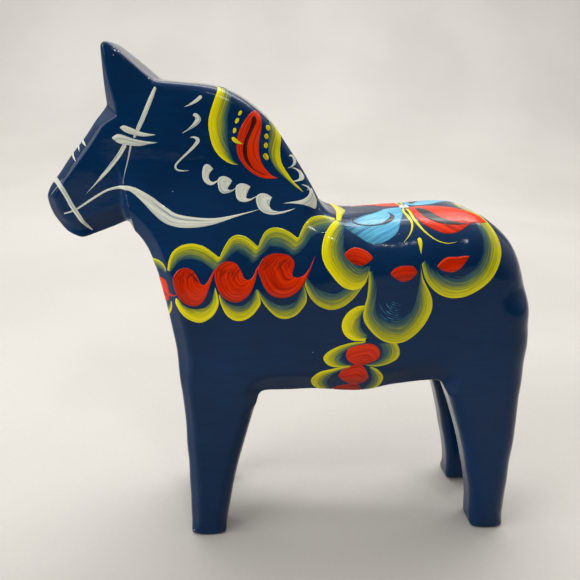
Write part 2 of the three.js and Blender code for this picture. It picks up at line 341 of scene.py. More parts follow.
def surface_net(low, high, step):
    """Closed quad mesh of the carved surface, with one point in each grid cell it goes through."""
    counts = [int(math.ceil((h - l) / step)) + 1 for l, h in zip(low, high)]
    axes = [l + np.arange(n) * step for l, n in zip(low, counts)]
    field = np.empty(counts)
    for i, x in enumerate(axes[0]):
        field[i] = carved(np.stack(np.meshgrid([x], axes[1], axes[2], indexing="ij"), -1))[0]
    inside = field < 0
    corners = [(i, j, k) for i in (0, 1) for j in (0, 1) for k in (0, 1)]

    def at(grid, corner):
        return grid[tuple(slice(c, c + n - 1) for c, n in zip(corner, counts))]

    wet = sum(at(inside, corner).astype(int) for corner in corners)
    mixed = (wet > 0) & (wet < 8)
    cells = np.argwhere(mixed)
    index = np.full(mixed.shape, -1)
    index[mixed] = np.arange(len(cells))
    values = {corner: at(field, corner)[mixed] for corner in corners}
    total, hits = np.zeros((len(cells), 3)), np.zeros(len(cells))
    for corner in corners:
        for axis in range(3):
            if corner[axis]:
                continue
            other = tuple(c + (k == axis) for k, c in enumerate(corner))
            a, b = values[corner], values[other]
            crosses = (a < 0) != (b < 0)
            place = np.tile(np.array(corner, float), (len(cells), 1))
            place[:, axis] += np.where(crosses, a / np.where(crosses, a - b, 1), 0)
            total += place * crosses[:, None]
            hits += crosses
    points = np.array(low) + (cells + total / hits[:, None]) * step

    quads = []
    for axis in range(3):
        u, v = [k for k in range(3) if k != axis]
        first, second = [slice(1, -1)] * 3, [slice(1, -1)] * 3
        first[axis], second[axis] = slice(0, -1), slice(1, None)
        one, two = inside[tuple(first)], inside[tuple(second)]
        base = np.argwhere(one != two)
        leaving = one[tuple(base.T)]
        base[:, [u, v]] += 1
        around = []
        for du, dv in ((0, 0), (1, 0), (1, 1), (0, 1)):
            cell = base.copy()
            cell[:, u] -= du
            cell[:, v] -= dv
            around.append(index[tuple(cell.T)])
        quad = np.stack(around, 1)
        turned = ~leaving if axis != 1 else leaving
        quad[turned] = quad[turned][:, ::-1]
        quads.append(quad)
    return settle(points), np.vstack(quads)


# ---- Meshes -------------------------------------------------------------------------------------

def link(mesh, name, *materials):
    """A new smooth shaded object in the scene, made of the given materials."""
    piece = bpy.data.objects.new(name, mesh)
    bpy.context.collection.objects.link(piece)
    for material in materials:
        mesh.materials.append(material)
    mesh.polygons.foreach_set("use_smooth", [True] * len(mesh.polygons))
    return piece


def coordinates(mesh):
    flat = np.empty(len(mesh.vertices) * 3)
    mesh.vertices.foreach_get("co", flat)
    return flat.reshape(-1, 3)


def set_values(mesh, name, values):
    mesh.attributes.new(name, "FLOAT", "POINT").data.foreach_set("value", values)


# ---- Boards -------------------------------------------------------------------------------------

LAYERS = ("left", "core", "right")
ROWS = ("front", "middle", "rear")
X, Y = 0, 1
GLUE_FACE = 1     # index of the bare pine in a board's materials


def joint(first, second, axis):
    """Where two neighbouring boards meet, in metres: midway between their facing sides."""
    return (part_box(first)[1][axis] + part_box(second)[0][axis]) / 2


def part_at(blank, axis, place):
    """Cuts a bmesh in two across an axis, and closes both halves with flat glue faces."""
    halves = []
    normal = Vector([1.0 if k == axis else 0.0 for k in range(3)])
    for upper in (False, True):
        half = blank.copy()
        cut = bmesh.ops.bisect_plane(
            half, geom=half.verts[:] + half.edges[:] + half.faces[:], dist=1e-7,
            plane_co=normal * place, plane_no=normal, clear_inner=upper, clear_outer=not upper)
        rim = [e for e in cut["geom_cut"] if isinstance(e, bmesh.types.BMEdge) and e.is_boundary]
        lid = bmesh.ops.triangle_fill(half, use_beauty=True, edges=rim,
                                      normal=-normal if upper else normal)
        for face in lid["geom"]:
            if isinstance(face, bmesh.types.BMFace):
                face.material_index = GLUE_FACE
        halves.append(half)
    return halves


def edge_sharpness(p, n, reach=6.0):
    """0 on flat faces, and more where the surface turns away within reach: 0.2 on a sharp edge."""
    return np.clip((carved(p - n * reach) + reach) / reach, 0, 1)


def make_boards(materials):
    points, quads = surface_net(box_low - SURFACE_MARGIN, box_high + SURFACE_MARGIN,
                                SURFACE_STEP)
    skin = bpy.data.meshes.new("skin")
    skin.from_pydata((points * MM).tolist(), [], quads.tolist())
    blank = bmesh.new()
    blank.from_mesh(skin)
    low_joint = joint("left_middle_board", "core_middle_board", Y)
    high_joint = joint("core_middle_board", "right_middle_board", Y)
    left, rest = part_at(blank, Y, low_joint)
    core, right = part_at(rest, Y, high_joint)
    for layer, slab in zip(LAYERS, (left, core, right)):
        nodes = [f"{layer}_{row}_board" for row in ROWS]
        front, rest = part_at(slab, X, joint(nodes[0], nodes[1], X))
        middle, rear = part_at(rest, X, joint(nodes[1], nodes[2], X))
        for node, board in zip(nodes, (front, middle, rear)):
            make_board(node, board, materials)


def make_board(node, board, materials):
    mesh = bpy.data.meshes.new(node + "_carved")
    board.to_mesh(mesh)
    piece = link(mesh, node + "_carved", *materials)
    p = coordinates(mesh) / MM
    n = facing(p)
    set_values(mesh, "sharpness", edge_sharpness(p, n))
    corner_vertex = np.empty(len(mesh.loops), int)
    mesh.loops.foreach_get("vertex_index", corner_vertex)
    corner_normals = n[corner_vertex]
    for face in mesh.polygons:
        if face.material_index == GLUE_FACE:
            corner_normals[face.loop_indices] = face.normal
    mesh.normals_split_custom_set(corner_normals.tolist())
    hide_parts(node)
    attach(piece, "root")


# ---- Brush strokes ------------------------------------------------------------------------------

class Roll:
    """Lays flat stroke coordinates on the horse.

    Up to a line through pivot, a flat point (x, z) lies straight in from the side. Beyond the line,
    going towards the given way, it rolls round the horse, radius mm for each radian about the
    middle plane, so a quarter turn reaches the middle and more goes down the other side.
    """

    def __init__(self, pivot, towards, radius):
        self.pivot = np.array(pivot, float)
        self.towards = np.array(towards, float) / np.hypot(*towards)
        self.radius = radius

    def place(self, flat, side):
        beyond = np.maximum((flat - self.pivot) @ self.towards, 0)
        turn = beyond / self.radius
        middle = flat - beyond[..., None] * self.towards
        inward = np.stack([-np.sin(turn) * self.towards[0], -side * np.cos(turn),
                           -np.sin(turn) * self.towards[1]], -1)
        middle = np.stack([middle[..., 0], np.zeros_like(turn), middle[..., 1]], -1)
        return cast(middle - OUTSIDE * inward, inward)


OVER_BACK = Roll((0, 170), (0, 1), 41)
UNDER_BELLY = Roll((0, 140), (0, -1), 51)
ROUND_CHEST = Roll((-40, 0), (-1, 0), 47.6)
OVER_CREST = Roll((-30, 235), (0.66, 0.75), 26)
ROUND_FACE = Roll((-121.7, 225.7), (-0.81, 0.59), 18.5)

SPINE = OVER_BACK.pivot[1] + OVER_BACK.radius * math.pi / 2          # flat z of the back's middle
CHEST_MIDDLE = ROUND_CHEST.pivot[0] - ROUND_CHEST.radius * math.pi / 2
BELLY_MIDDLE = UNDER_BELLY.pivot[1] - UNDER_BELLY.radius * math.pi / 2

SUNK = -0.1       # the rim of a stroke lies this far under the surface, so that paint meets lacquer
UNDERSIDE = -0.2  # and its hidden underside this far
PAINT = 0.12      # thickness of the paint
OVER = 0.09       # what is painted later lies this much higher
ROUND_OVER = 0.6  # width over which the paint rises from its rim
FADE_FROM = 0.86  # a stroke that fades starts to sink at this share of its width
ROUND_END = 0.98  # 1 would close a line's ends to a point
SHAKE = 0.09      # how far a painter's hand trembles
FAR_DRIFT = 0.7   # how far the far side's strokes stray from the near side's
STEADY_NEAR = 40  # within this of the chest's or the belly's middle they stray less,
STEADY_SPINE = 30  # and within this of the spine
LEAST_ROWS = 8
LEAST_COLUMNS = 4
FAR_BRISTLES = 0.37  # added to a stroke's number, so that its bristles differ on the far side


class Brushwork:
    """The strokes of one colour in one motif, on both sides of the horse, as one mesh."""

    strokes = 0

    def __init__(self, name, slot, material):
        self.name, self.slot, self.material = name, slot, material
        self.points, self.faces, self.total = [], [], 0
        self.values = {"tone": [], "along": [], "across": [], "load": [], "stroke": []}

    def band(self, roll, first, second, sides=(NEAR, FAR), tone=(0, 0), load=(1, 1), lift=PAINT,
             fades=False, drift=(0, 0), reach=1.0, step=STROKE_STEP):
        """A stroke between two edges. tone runs from the first edge to the second. load and drift,
        which is added to the tone, run from the stroke's start to its end. Edges with as many
        points as each other are paired point by point. reach widens the stroke beyond its second
        edge, and a stroke that fades sinks away there."""
        Brushwork.strokes += 1
        number = Brushwork.strokes
        rough_first, rough_second = np.array(first, float), np.array(second, float)
        length = max(np.linalg.norm(np.diff(edge, axis=0), axis=1).sum()
                     for edge in (rough_first, rough_second))
        rows = max(LEAST_ROWS, round(length / step)) + 1
        if len(first) == len(second):
            first, second = np.hsplit(curve_through(np.hstack([first, second]), rows), 2)
        else:
            first, second = curve_through(first, rows), curve_through(second, rows)
        second = first + (second - first) * reach
        widths = np.linalg.norm(second - first, axis=1)
        columns = max(LEAST_COLUMNS, round(widths.max() / step)) + 1
        u = np.linspace(0, 1, columns)
        u = (u + 0.5 * (1 - np.cos(math.pi * u))) / 2
        for side in sides:
            flat = first[:, None] * (1 - u[:, None]) + second[:, None] * u[:, None]
            flat = flat + self.unsteady(flat, number, side)
            across = u[None] * widths[:, None]
            along = np.linspace(0, length, rows)[:, None] + 0 * across
            self.add(roll.place(flat, side), across, widths[:, None] - across, along,
                     length - along, u, number + (side == FAR) * FAR_BRISTLES, tone, load, lift,
                     fades, drift)

    def line(self, roll, points, widths, **options):
        """A stroke along a line of points, with its width at each of them."""
        step = min(STROKE_STEP, max(widths) / 4)
        path = curve_through([(*point, width) for point, width in zip(points, widths)], step=step)
        way = np.gradient(path[:, :2], axis=0)
        way /= np.linalg.norm(way, axis=1)[:, None]
        run = np.arange(len(path)) * np.linalg.norm(path[1, :2] - path[0, :2])
        half = path[:, 2] / 2
        for left, end in ((run, half[0]), (run[-1] - run, half[-1])):
            near_end = left < end
            half[near_end] *= np.sqrt(1 - (1 - left[near_end] / end) ** 2 * ROUND_END)
        out = np.stack([-way[:, 1], way[:, 0]], 1) * half[:, None]
        self.band(roll, path[:, :2] + out, path[:, :2] - out, step=step, **options)

    @staticmethod
    def unsteady(flat, number, side):
        """A painter's hand: no two strokes are quite alike, least of all on opposite sides."""
        x, z = flat[..., 0], flat[..., 1]
        shake = np.stack([np.sin(z / 2.9 + number), np.sin(x / 3.3 + 2.1 * number)], -1) * SHAKE
        if side == FAR:
            drift = np.stack([np.sin(z / 17 + 1.3) + np.sin(x / 29), np.sin(x / 21 + 0.4)], -1)
            off_spine = np.clip((SPINE - z) / STEADY_SPINE, 0, 1)
            off_chest = np.clip((x - CHEST_MIDDLE) / STEADY_NEAR, 0, 1)
            off_belly = np.clip((z - BELLY_MIDDLE) / STEADY_NEAR, 0, 1)
            shake = shake + drift * (FAR_DRIFT * (off_spine * off_chest) * off_belly)[..., None]
        return shake

    def add(self, surface, from_first, from_second, from_start, from_end, u, number, tone, load,
            lift, fades, drift):
        """Adds one stroke as a closed shell, just proud of the wood."""
        rows, columns = surface.shape[:2]
        out = facing(surface)
        rim = np.minimum(from_first, np.minimum(from_start, from_end))
        rise = smoothstep(np.minimum(rim, np.inf if fades else from_second), 0, ROUND_OVER)
        if fades:
            rise = rise * (1 - smoothstep(u[None], FADE_FROM, 1))
        top = surface + out * (SUNK + (lift - SUNK) * rise)[..., None]
        under = surface + out * UNDERSIDE
        self.points += [top.reshape(-1, 3), under.reshape(-1, 3)]

        grid = self.total + np.arange(rows * columns).reshape(rows, columns)
        below = rows * columns
        corners = grid[:-1, :-1], grid[1:, :-1], grid[1:, 1:], grid[:-1, 1:]
        quads = np.stack(corners, -1).reshape(-1, 4)
        loop = np.concatenate([grid[0, :-1], grid[:-1, -1], grid[-1, :0:-1], grid[:0:-1, 0]])
        after = np.roll(loop, -1)
        walls = np.stack([loop, after, after + below, loop + below], -1)
        shell = np.vstack([quads, quads[:, ::-1] + below, walls])
        middle = rows // 2, columns // 2
        down = surface[middle[0] + 1, middle[1]] - surface[middle]
        over = surface[middle[0], middle[1] + 1] - surface[middle]
        if np.cross(down, over) @ out[middle] < 0:
            shell = shell[:, ::-1]
        self.faces.append(shell)
        self.total += 2 * below

        t = np.linspace(0, 1, rows)[:, None]
        sheets = {
            "tone": tone[0] + (tone[1] - tone[0]) * u[None] + drift[0] + (drift[1] - drift[0]) * t,
            "along": from_start,
            "across": from_first,
            "load": load[0] + (load[1] - load[0]) * t + 0 * u[None],
            "stroke": number + 0 * from_start,
        }
        for name, sheet in sheets.items():
            self.values[name] += [sheet.ravel(), sheet.ravel()]

    def finish(self):
        mesh = bpy.data.meshes.new(self.name)
        mesh.from_pydata((np.vstack(self.points) * MM).tolist(), [], np.vstack(self.faces).tolist())
        for name, sheets in self.values.items():
            set_values(mesh, name, np.concatenate(sheets))
        piece = link(mesh, self.name, self.material)
        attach(piece, "root")


# ---- Materials ----------------------------------------------------------------------------------

def linear(colour):
    """A hex colour as the linear RGBA that the nodes take."""
    channels = [int(colour[k:k + 2], 16) / 255 for k in (1, 3, 5)]
    return [c / 12.92 if c < 0.04045 else ((c + 0.055) / 1.055) ** 2.4 for c in channels] + [1.0]


class Nodes:
    """The node tree of a material or world, written anew. Inputs are sockets or plain values."""

    def __init__(self, owner):
        owner.use_nodes = True
        self.owner = owner
        self.tree = owner.node_tree
        self.tree.nodes.clear()

    def add(self, kind, inputs=(), **settings):
        node = self.tree.nodes.new("ShaderNode" + kind)
        for name, value in settings.items():
            setattr(node, name, value)
        for key, value in dict(inputs).items():
            if isinstance(value, bpy.types.NodeSocket):
                self.tree.links.new(value, node.inputs[key])
            else:
                node.inputs[key].default_value = value
        return node

    def place(self):
        return self.add("TexCoord").outputs["Object"]

    def value(self, name):
        return self.add("Attribute", attribute_name=name).outputs["Fac"]

    def math(self, operation, *values):
        return self.add("Math", dict(enumerate(values)), operation=operation).outputs[0]

    def plus(self, first, second):
        return self.math("ADD", first, second)

    def times(self, first, second):
        return self.math("MULTIPLY", first, second)

    def stretch(self, vector, scale):
        return self.add("VectorMath", {0: vector, 1: scale}, operation="MULTIPLY").outputs[0]

    def noise(self, vector, scale, detail=2.0, roughness=0.5):
        return self.add("TexNoise", {"Vector": vector, "Scale": scale, "Detail": detail,
                                     "Roughness": roughness}).outputs["Fac"]

    def span(self, value, low, high, to_low=0.0, to_high=1.0):
        """Maps low..high to to_low..to_high, smoothly, and holds it there outside."""
        return self.add("MapRange", {0: value, 1: low, 2: high, 3: to_low, 4: to_high},
                        interpolation_type="SMOOTHSTEP").outputs[0]

    def mix(self, factor, first, second):
        """A mix of two colours, which are sockets or hex colours."""
        node = self.add("Mix", {"Factor": factor}, data_type="RGBA")
        for key, colour in ((6, first), (7, second)):
            if isinstance(colour, bpy.types.NodeSocket):
                self.tree.links.new(colour, node.inputs[key])
            else:
                node.inputs[key].default_value = linear(colour)
        return node.outputs[2]

    def ramp(self, factor, stops):
        node = self.add("ValToRGB", {0: factor})
        elements = node.color_ramp.elements
        while len(elements) < len(stops):
            elements.new(0.5)
        for element, (position, colour) in zip(elements, stops):
            element.position, element.color = position, linear(colour)
        return node.outputs["Color"]

    def bump(self, height, distance, normal=None):
        inputs = {"Height": height, "Distance": distance, "Strength": 1.0}
        if normal:
            inputs["Normal"] = normal
        return self.add("Bump", inputs).outputs["Normal"]

    def surface(self, colour, roughness, normal, **inputs):
        shader = self.add("BsdfPrincipled", {"Base Color": colour, "Roughness": roughness,
                                             "Normal": normal, **inputs})
        self.add("OutputMaterial", {"Surface": shader.outputs["BSDF"]})
        return self.owner


GLOSS = 1.28      # the lacquer's index of refraction: a soft gloss


def lacquer_coat(nodes):
    """Colour, roughness and surface of the navy lacquer that covers the horse, paint included."""
    place = nodes.place()
    cloud = nodes.noise(place, 16, 3)
    colour = nodes.mix(nodes.span(cloud, 0.3, 0.7), "#022648", "#052d54")
    drag = nodes.noise(nodes.stretch(place, (55, 260, 420)), 1, 3, 0.6)
    colour = nodes.mix(nodes.span(drag, 0.35, 0.8, 0, 0.35), colour, "#021c3d")
    smudge = nodes.noise(place, 42, 4, 0.62)
    roughness = nodes.span(smudge, 0.35, 0.75, 0.07, 0.15)
    ripple = nodes.bump(nodes.noise(place, 75, 2), 0.00028)
    brushed = nodes.bump(nodes.noise(nodes.stretch(place, (120, 300, 300)), 1, 2), 0.00009, ripple)
    hairs = nodes.bump(nodes.noise(nodes.stretch(place, (420, 900, 900)), 1, 3), 0.000025, brushed)
    return colour, roughness, hairs


def dust(nodes, place, amount, scale, size):
    """White dots in the lacquer, 1 on a speck, where amount lets it be: nibs of dust, and along
    edges spots of wear that are also painted glints.
    amount is the share of the Voronoi cells that hold a speck, of the given size in a cell."""
    cells = nodes.add("TexVoronoi", {"Vector": place, "Scale": scale, "Randomness": 1.0})
    lot = nodes.add("SeparateColor", {0: cells.outputs["Color"]}).outputs[0]
    chosen = nodes.math("LESS_THAN", lot, amount)
    return nodes.times(chosen, nodes.span(cells.outputs["Distance"], size / 3, size, 1, 0))


def lacquer():
    """Navy lacquer, with dust on top of the horse. Sharp edges that face up are painted lighter
    blue and white-dotted: wear there, and painted highlights and glints.
    """
    nodes = Nodes(bpy.data.materials.new("navy_lacquer"))
    colour, roughness, normal = lacquer_coat(nodes)
    place = nodes.place()
    up = nodes.add("SeparateXYZ", {0: nodes.add("NewGeometry").outputs["Normal"]}).outputs[2]
    sharp = nodes.value("sharpness")
    patches = nodes.span(nodes.noise(place, 55, 3), 0.42, 0.6)
    # sharp edges that face up: wear there, and a painted highlight, since they catch the light from
    # above
    up_facing_patches = nodes.times(patches, nodes.span(up, 0.05, 0.45, 0.02, 1))
    worn_and_highlight_edges = nodes.times(nodes.span(sharp, 0.08, 0.18), up_facing_patches)
    settled = nodes.times(nodes.span(up, 0.45, 0.95, 0, 0.05), patches)
    nibs = dust(nodes, place, nodes.plus(settled, 0.0006), scale=620, size=0.22)
    # white dots strung along those edges: wear, and painted glints
    edge_specks_and_glints = dust(nodes, place, nodes.times(worn_and_highlight_edges, 0.5), scale=560, size=0.34)
    dust_and_glint_specks = nodes.math("MAXIMUM", nibs, edge_specks_and_glints)
    # those edges painted lighter blue: wear, and a painted edge highlight
    thin = nodes.times(worn_and_highlight_edges, nodes.span(nodes.noise(place, 900, 2), 0.45, 0.7))
    colour = nodes.mix(nodes.times(thin, 0.3), colour, "#41566e")
    # white dots: dust nibs on top, and on the edges wear with painted glints
    colour = nodes.mix(nodes.times(dust_and_glint_specks, 0.8), colour, "#c8ccd0")
    normal = nodes.bump(dust_and_glint_specks, 0.00012, normal)
    return nodes.surface(colour, roughness, normal, IOR=GLOSS)


def bare_pine():
    """The planed and glued faces inside the horse, with the grain upright."""
    nodes = Nodes(bpy.data.materials.new("bare_pine"))
    place = nodes.place()
    warp = nodes.add("TexNoise", {"Vector": place, "Scale": 9}).outputs["Color"]
    bent = nodes.add("VectorMath", {0: nodes.stretch(place, (70, 70, 5)), 1: warp},
                     operation="ADD").outputs[0]
    rings = nodes.add("TexWave", {"Vector": bent, "Scale": 0.9, "Distortion": 2.5, "Detail": 2},
                      bands_direction="X").outputs["Fac"]
    fibre = nodes.noise(nodes.stretch(place, (900, 900, 30)), 1, 3)
    colour = nodes.ramp(rings, [(0.0, "#e3c48f"), (0.7, "#d6ad71"), (1.0, "#b07b42")])
    colour = nodes.mix(nodes.span(fibre, 0.3, 0.8, 0, 0.3), colour, "#9c6c3c")
    return nodes.surface(colour, 0.62, nodes.bump(fibre, 0.0001))


def painted(name, tones, thin_colour, streakiness=1.0, see_through=0.35, hairs=1.0):
    """Brush paint. tones runs across a loaded brush, from the colour on one side to the other.
    Bristle streaks follow the stroke. Where the paint is thin it turns to thin_colour, and where
    the brush runs dry the lacquer shows through. hairs is the fineness of the bristles."""
    nodes = Nodes(bpy.data.materials.new(name))
    coat, roughness, skin = lacquer_coat(nodes)
    along, across, stroke = (nodes.value(key) for key in ("along", "across", "stroke"))
    tone, load = nodes.value("tone"), nodes.value("load")

    def bristles(per_mm, drawn_out, shift):
        path = nodes.add("CombineXYZ", {0: nodes.times(across, per_mm * hairs),
                                        1: nodes.times(along, drawn_out),
                                        2: nodes.math("MULTIPLY_ADD", stroke, 7.31, shift)})
        return nodes.noise(path.outputs[0], 1, 3, 0.6)

    def swing(noise, amount):
        """A noise as a swing either way, of this amount from end to end."""
        return nodes.times(nodes.math("SUBTRACT", noise, 0.5), amount)

    coarse, fine = bristles(0.95, 0.02, 0), bristles(2.3, 0.04, 40)
    patch = bristles(0.2, 0.11, 80)
    streak = nodes.plus(swing(coarse, 0.62), swing(fine, 0.38))
    shift = nodes.plus(swing(patch, 0.22), nodes.times(streak, 1.25 * streakiness))
    shifted = nodes.plus(tone, shift)
    colour = nodes.ramp(shifted, tones)
    own_side = nodes.math("SUBTRACT", 1, tone)
    edge = nodes.times(nodes.span(across, 0.0, 0.55, 0.32, 0), own_side)
    colour = nodes.mix(edge, colour, thin_colour)
    thin = nodes.times(nodes.span(streak, 0.0, 0.16, 0, see_through), own_side)
    colour = nodes.mix(thin, colour, thin_colour)
    dry = nodes.math("SUBTRACT", 1, load)
    bare = nodes.span(nodes.plus(nodes.times(streak, 1.3), dry), 0.32, 0.95)
    colour = nodes.mix(bare, colour, coat)
    colour = nodes.mix(nodes.span(shifted, 0.88, 1.04), colour, coat)
    ridges = nodes.bump(nodes.times(nodes.plus(fine, coarse), own_side), 0.00005, skin)
    return nodes.surface(colour, roughness, ridges, IOR=GLOSS)


YELLOW_TONES = [(0.0, "#efe00a"), (0.28, "#d4ca0c"), (0.46, "#a5a522"), (0.6, "#76813c"),
                (0.75, "#40605a"), (0.98, "#163a54")]
RED_TONES = [(0.0, "#e43805"), (0.34, "#c62703"), (0.62, "#921a02"), (1.0, "#33100d")]
CREAM_TONES = [(0.0, "#e2e2cf"), (0.45, "#c6ccbf"), (1.0, "#8499a2")]
BLUE_TONES = [(0.0, "#79c0d6"), (0.5, "#58a8c9"), (1.0, "#3a84ac")]
BROWN_TONES = [(0.0, "#5e1d0b"), (0.5, "#3c130b"), (1.0, "#241010")]
AMBER_TONES = [(0.0, "#d98a0e"), (0.5, "#c26a0a"), (1.0, "#9a4206")]
DARK_TONES = [(0.0, "#2a1a18"), (0.5, "#2c2c30"), (1.0, "#3c4448")]


# ---- The painting -------------------------------------------------------------------------------
# Points are flat (x, z) stroke coordinates in millimetres, which a Roll lays on the horse.

LOADED = (0.0, 1.0)             # a brush loaded yellow on one side and blue on the other


def mirrored_about(x, points):
    return [(2 * x - px, z) for px, z in reversed(points)]


def paint_garland(yellow, red):
    """The collar: scallops above and below, round the chest, with red wave petals between them."""
    work = Brushwork("paint_garland_yellow", "yellow_paint", yellow)
    upper = [
        (-75.6, 180.5), (-74.9, 185.8), (-72.7, 191.2), (-68.5, 194.6), (-61.9, 196), (-55, 194.7),
        (-49.6, 191.2), (-46.4, 188.8), (-45, 191.6), (-42.3, 196.8), (-39.6, 200), (-35.8, 201.3),
        (-31.2, 200.2), (-27.3, 197.4), (-24.6, 195.3), (-23.4, 198.4), (-21.5, 201.8),
        (-18.8, 203.9), (-15, 204.7), (-10.4, 204), (-5.8, 202), (-2.1, 199.6), (-0.6, 202.4),
        (1.4, 205.9), (5, 209.3), (9.6, 211.4), (15, 212.5), (20.6, 212)]
    upper_inner = [
        (-73.6, 180.2), (-71.4, 183.6), (-69, 186.4), (-66, 187.8), (-61.4, 188), (-56.5, 186.4),
        (-52, 183.8), (-48.6, 181.6), (-42.4, 187.6), (-38.9, 191.4), (-37.2, 192.6),
        (-35.2, 192.4), (-32.4, 191.2), (-29.6, 188.8), (-26.8, 186.4), (-20.6, 192.8),
        (-18.2, 195.4), (-16.4, 195.6), (-14.2, 195), (-11, 193.8), (-7.8, 191.8), (-4.4, 189.6),
        (1.8, 194.4), (4.6, 198.6), (7.6, 201), (11.2, 202), (15.4, 202.6), (19.4, 202.6)]
    work.band(OVER_BACK, upper, upper_inner, tone=(0.24, 1), fades=True, drift=(-0.08, 0.12),
              reach=1.2)

    lower = [
        ([(-71.2, 164.6), (-71.4, 160.8), (-68, 155.3), (-63, 151.3), (-57, 149.8), (-51.6, 152.3),
          (-48.2, 156.6), (-46.6, 162.6), (-48.2, 171.2)],
         [(-69.8, 164.4), (-67, 161), (-63.4, 158.9), (-59.6, 158.2), (-55.4, 158.6),
          (-52.4, 160.6), (-50.4, 164), (-49.4, 167.4), (-48.7, 171.2)], (-0.2, 0.72), 1.1),
        ([(-47, 167.6), (-45.4, 160.2), (-42.5, 154.6), (-38.1, 151.3), (-33, 151), (-28, 153.8),
          (-24.4, 158.4), (-22.8, 162.4), (-24.8, 170.2)],
         [(-46.2, 167.6), (-43.4, 162.8), (-40.4, 160), (-36.6, 158.6), (-32.8, 158.9),
          (-29.4, 161.4), (-27.2, 164.4), (-26, 167.4), (-25.3, 170.2)], (0, 0.95), 1.3),
        ([(-25.2, 170), (-22.2, 162.8), (-18.2, 157.2), (-13.2, 153), (-8, 151.9), (-2.8, 153.8),
          (1, 158), (3.6, 162.8), (3.4, 167.4), (1.6, 172.6)],
         [(-24.6, 170), (-21.8, 166.2), (-18.2, 162.6), (-14, 160.2), (-9.2, 159.4), (-4.6, 160.2),
          (-1.6, 163), (0, 166), (0.8, 169.2), (1.1, 172.6)], (0.28, 0.98), 1.3),
        ([(1.6, 172.8), (4.8, 166), (9, 161), (13.8, 158.4), (19, 157.8), (25, 159.8), (30.2, 164),
          (34.4, 170), (37.8, 175.4)],
         [(2.6, 176.6), (6.4, 171.6), (10.6, 168), (15, 166.4), (19.6, 166.6), (24, 168.4),
          (28, 171.4), (32, 174.8), (36, 178)], (0.28, 1), 1.35)]
    for outer, inner, tone, reach in lower:
        work.band(OVER_BACK, outer, inner, tone=tone, fades=True, reach=reach)

    chest_upper = (
        [(-76.6, 179.8), (-78.6, 183.3), (-83, 185.1), (-89, 185), (-95, 183.2), (-99.6, 180.4),
         (-102.3, 176.6)],
        [(-77.4, 177.6), (-80, 178.8), (-84.4, 179.6), (-89, 179.2), (-93.6, 177.8),
         (-97.6, 175.8), (-100.6, 173.4)])
    chest_lower = (
        [(-75, 161.4), (-76, 156.4), (-80, 151.6), (-85.4, 149.6), (-91, 150.2), (-96.4, 153),
         (-100.6, 157.4), (-102.6, 163)],
        [(-76.2, 162), (-78.6, 158.8), (-82, 157), (-86.2, 156.4), (-91, 157), (-95.4, 159),
         (-98.8, 161.4), (-101.6, 164.6)])
    for (outer, inner), tone in ((chest_upper, (0.24, 1)), (chest_lower, LOADED)):
        work.band(ROUND_CHEST, outer, inner, tone=tone, fades=True)
    middle_upper = [(-102.6, 177), (-105, 182), (-109.6, 185), (CHEST_MIDDLE, 185.8)]
    middle_upper_inner = [(-103.8, 174.4), (-106.4, 177.4), (-110.2, 179.4), (CHEST_MIDDLE, 180)]
    middle_lower = [(-102.8, 163.6), (-104.8, 156.2), (-109.4, 151.2), (CHEST_MIDDLE, 149.6)]
    middle_lower_inner = [(-103.8, 164.4), (-106.4, 160), (-110.4, 157.4), (CHEST_MIDDLE, 156.6)]
    for outer, inner, tone in ((middle_upper, middle_upper_inner, (0.24, 1)),
                               (middle_lower, middle_lower_inner, LOADED)):
        outer, inner = (edge + mirrored_about(CHEST_MIDDLE, edge)[1:] for edge in (outer, inner))
        work.band(ROUND_CHEST, outer, inner, sides=[NEAR], tone=tone, fades=True)
    work.finish()

    work = Brushwork("paint_garland_red", "red_paint", red)
    waves_of_red = [
        ([(-61.6, 181.2), (-65, 182.3), (-68.4, 181.6), (-71, 179.2), (-72.5, 175.8),
          (-71.6, 169.6), (-69, 164.6), (-65.2, 161), (-61, 159.8), (-57.6, 160.8), (-54.6, 164.2),
          (-52.6, 169), (-51, 174), (-49.8, 178), (-48.3, 181.6)],
         [(-60.8, 180.4), (-60, 179.4), (-59.2, 178.2), (-58.4, 176.8), (-57.6, 175.2),
          (-56.8, 173.8), (-56, 172.9), (-55.2, 172.8), (-54.4, 173), (-53.6, 173.8), (-52.8, 175),
          (-51.8, 176.8), (-50.6, 179), (-49.6, 180.6), (-48.1, 182.4)]),
        ([(-38.4, 185.8), (-42.2, 186.5), (-45.4, 185), (-48, 182.4), (-49.2, 179.4),
          (-48.6, 173.6), (-46.2, 168), (-42.2, 164), (-37, 162.4), (-32.6, 163.8), (-29, 167.4),
          (-26.8, 172.4), (-25.6, 177), (-24.9, 180.6), (-24.2, 184)],
         [(-37.2, 185.2), (-36.2, 184.4), (-35.2, 183.2), (-34.4, 181.6), (-33.7, 180),
          (-33, 178.4), (-32.4, 176.8), (-31.6, 175.9), (-30.6, 175.4), (-29.4, 175.7),
          (-28.2, 176.6), (-27.2, 178), (-26.2, 180.2), (-25.4, 182.2), (-24, 184.6)]),
        ([(-9, 190.4), (-14, 190.9), (-18, 190.3), (-22.2, 187.8), (-24.8, 182), (-23.4, 177),
          (-21.4, 171.6), (-17.8, 167), (-12.6, 164.9), (-7, 165.6), (-2.2, 168.6), (1, 172.4),
          (3, 176), (4.8, 180.2), (6.2, 184.4), (7.4, 188.2), (8.5, 191.6)],
         [(-7.4, 189.9), (-6, 189), (-4.9, 187.8), (-4, 186.2), (-3.9, 184.2), (-4.2, 182.6),
          (-4.6, 181), (-5, 179.4), (-4.8, 178.4), (-3.8, 177.6), (-2, 177.3), (0, 177.9),
          (1.8, 178.9), (4.2, 182), (5.8, 185.6), (7.2, 188.8), (8.4, 191.8)])]
    for outer, inner in waves_of_red:
        work.band(OVER_BACK, outer, inner, tone=(0.35, 0.1), lift=PAINT + OVER, drift=(0.2, -0.15))
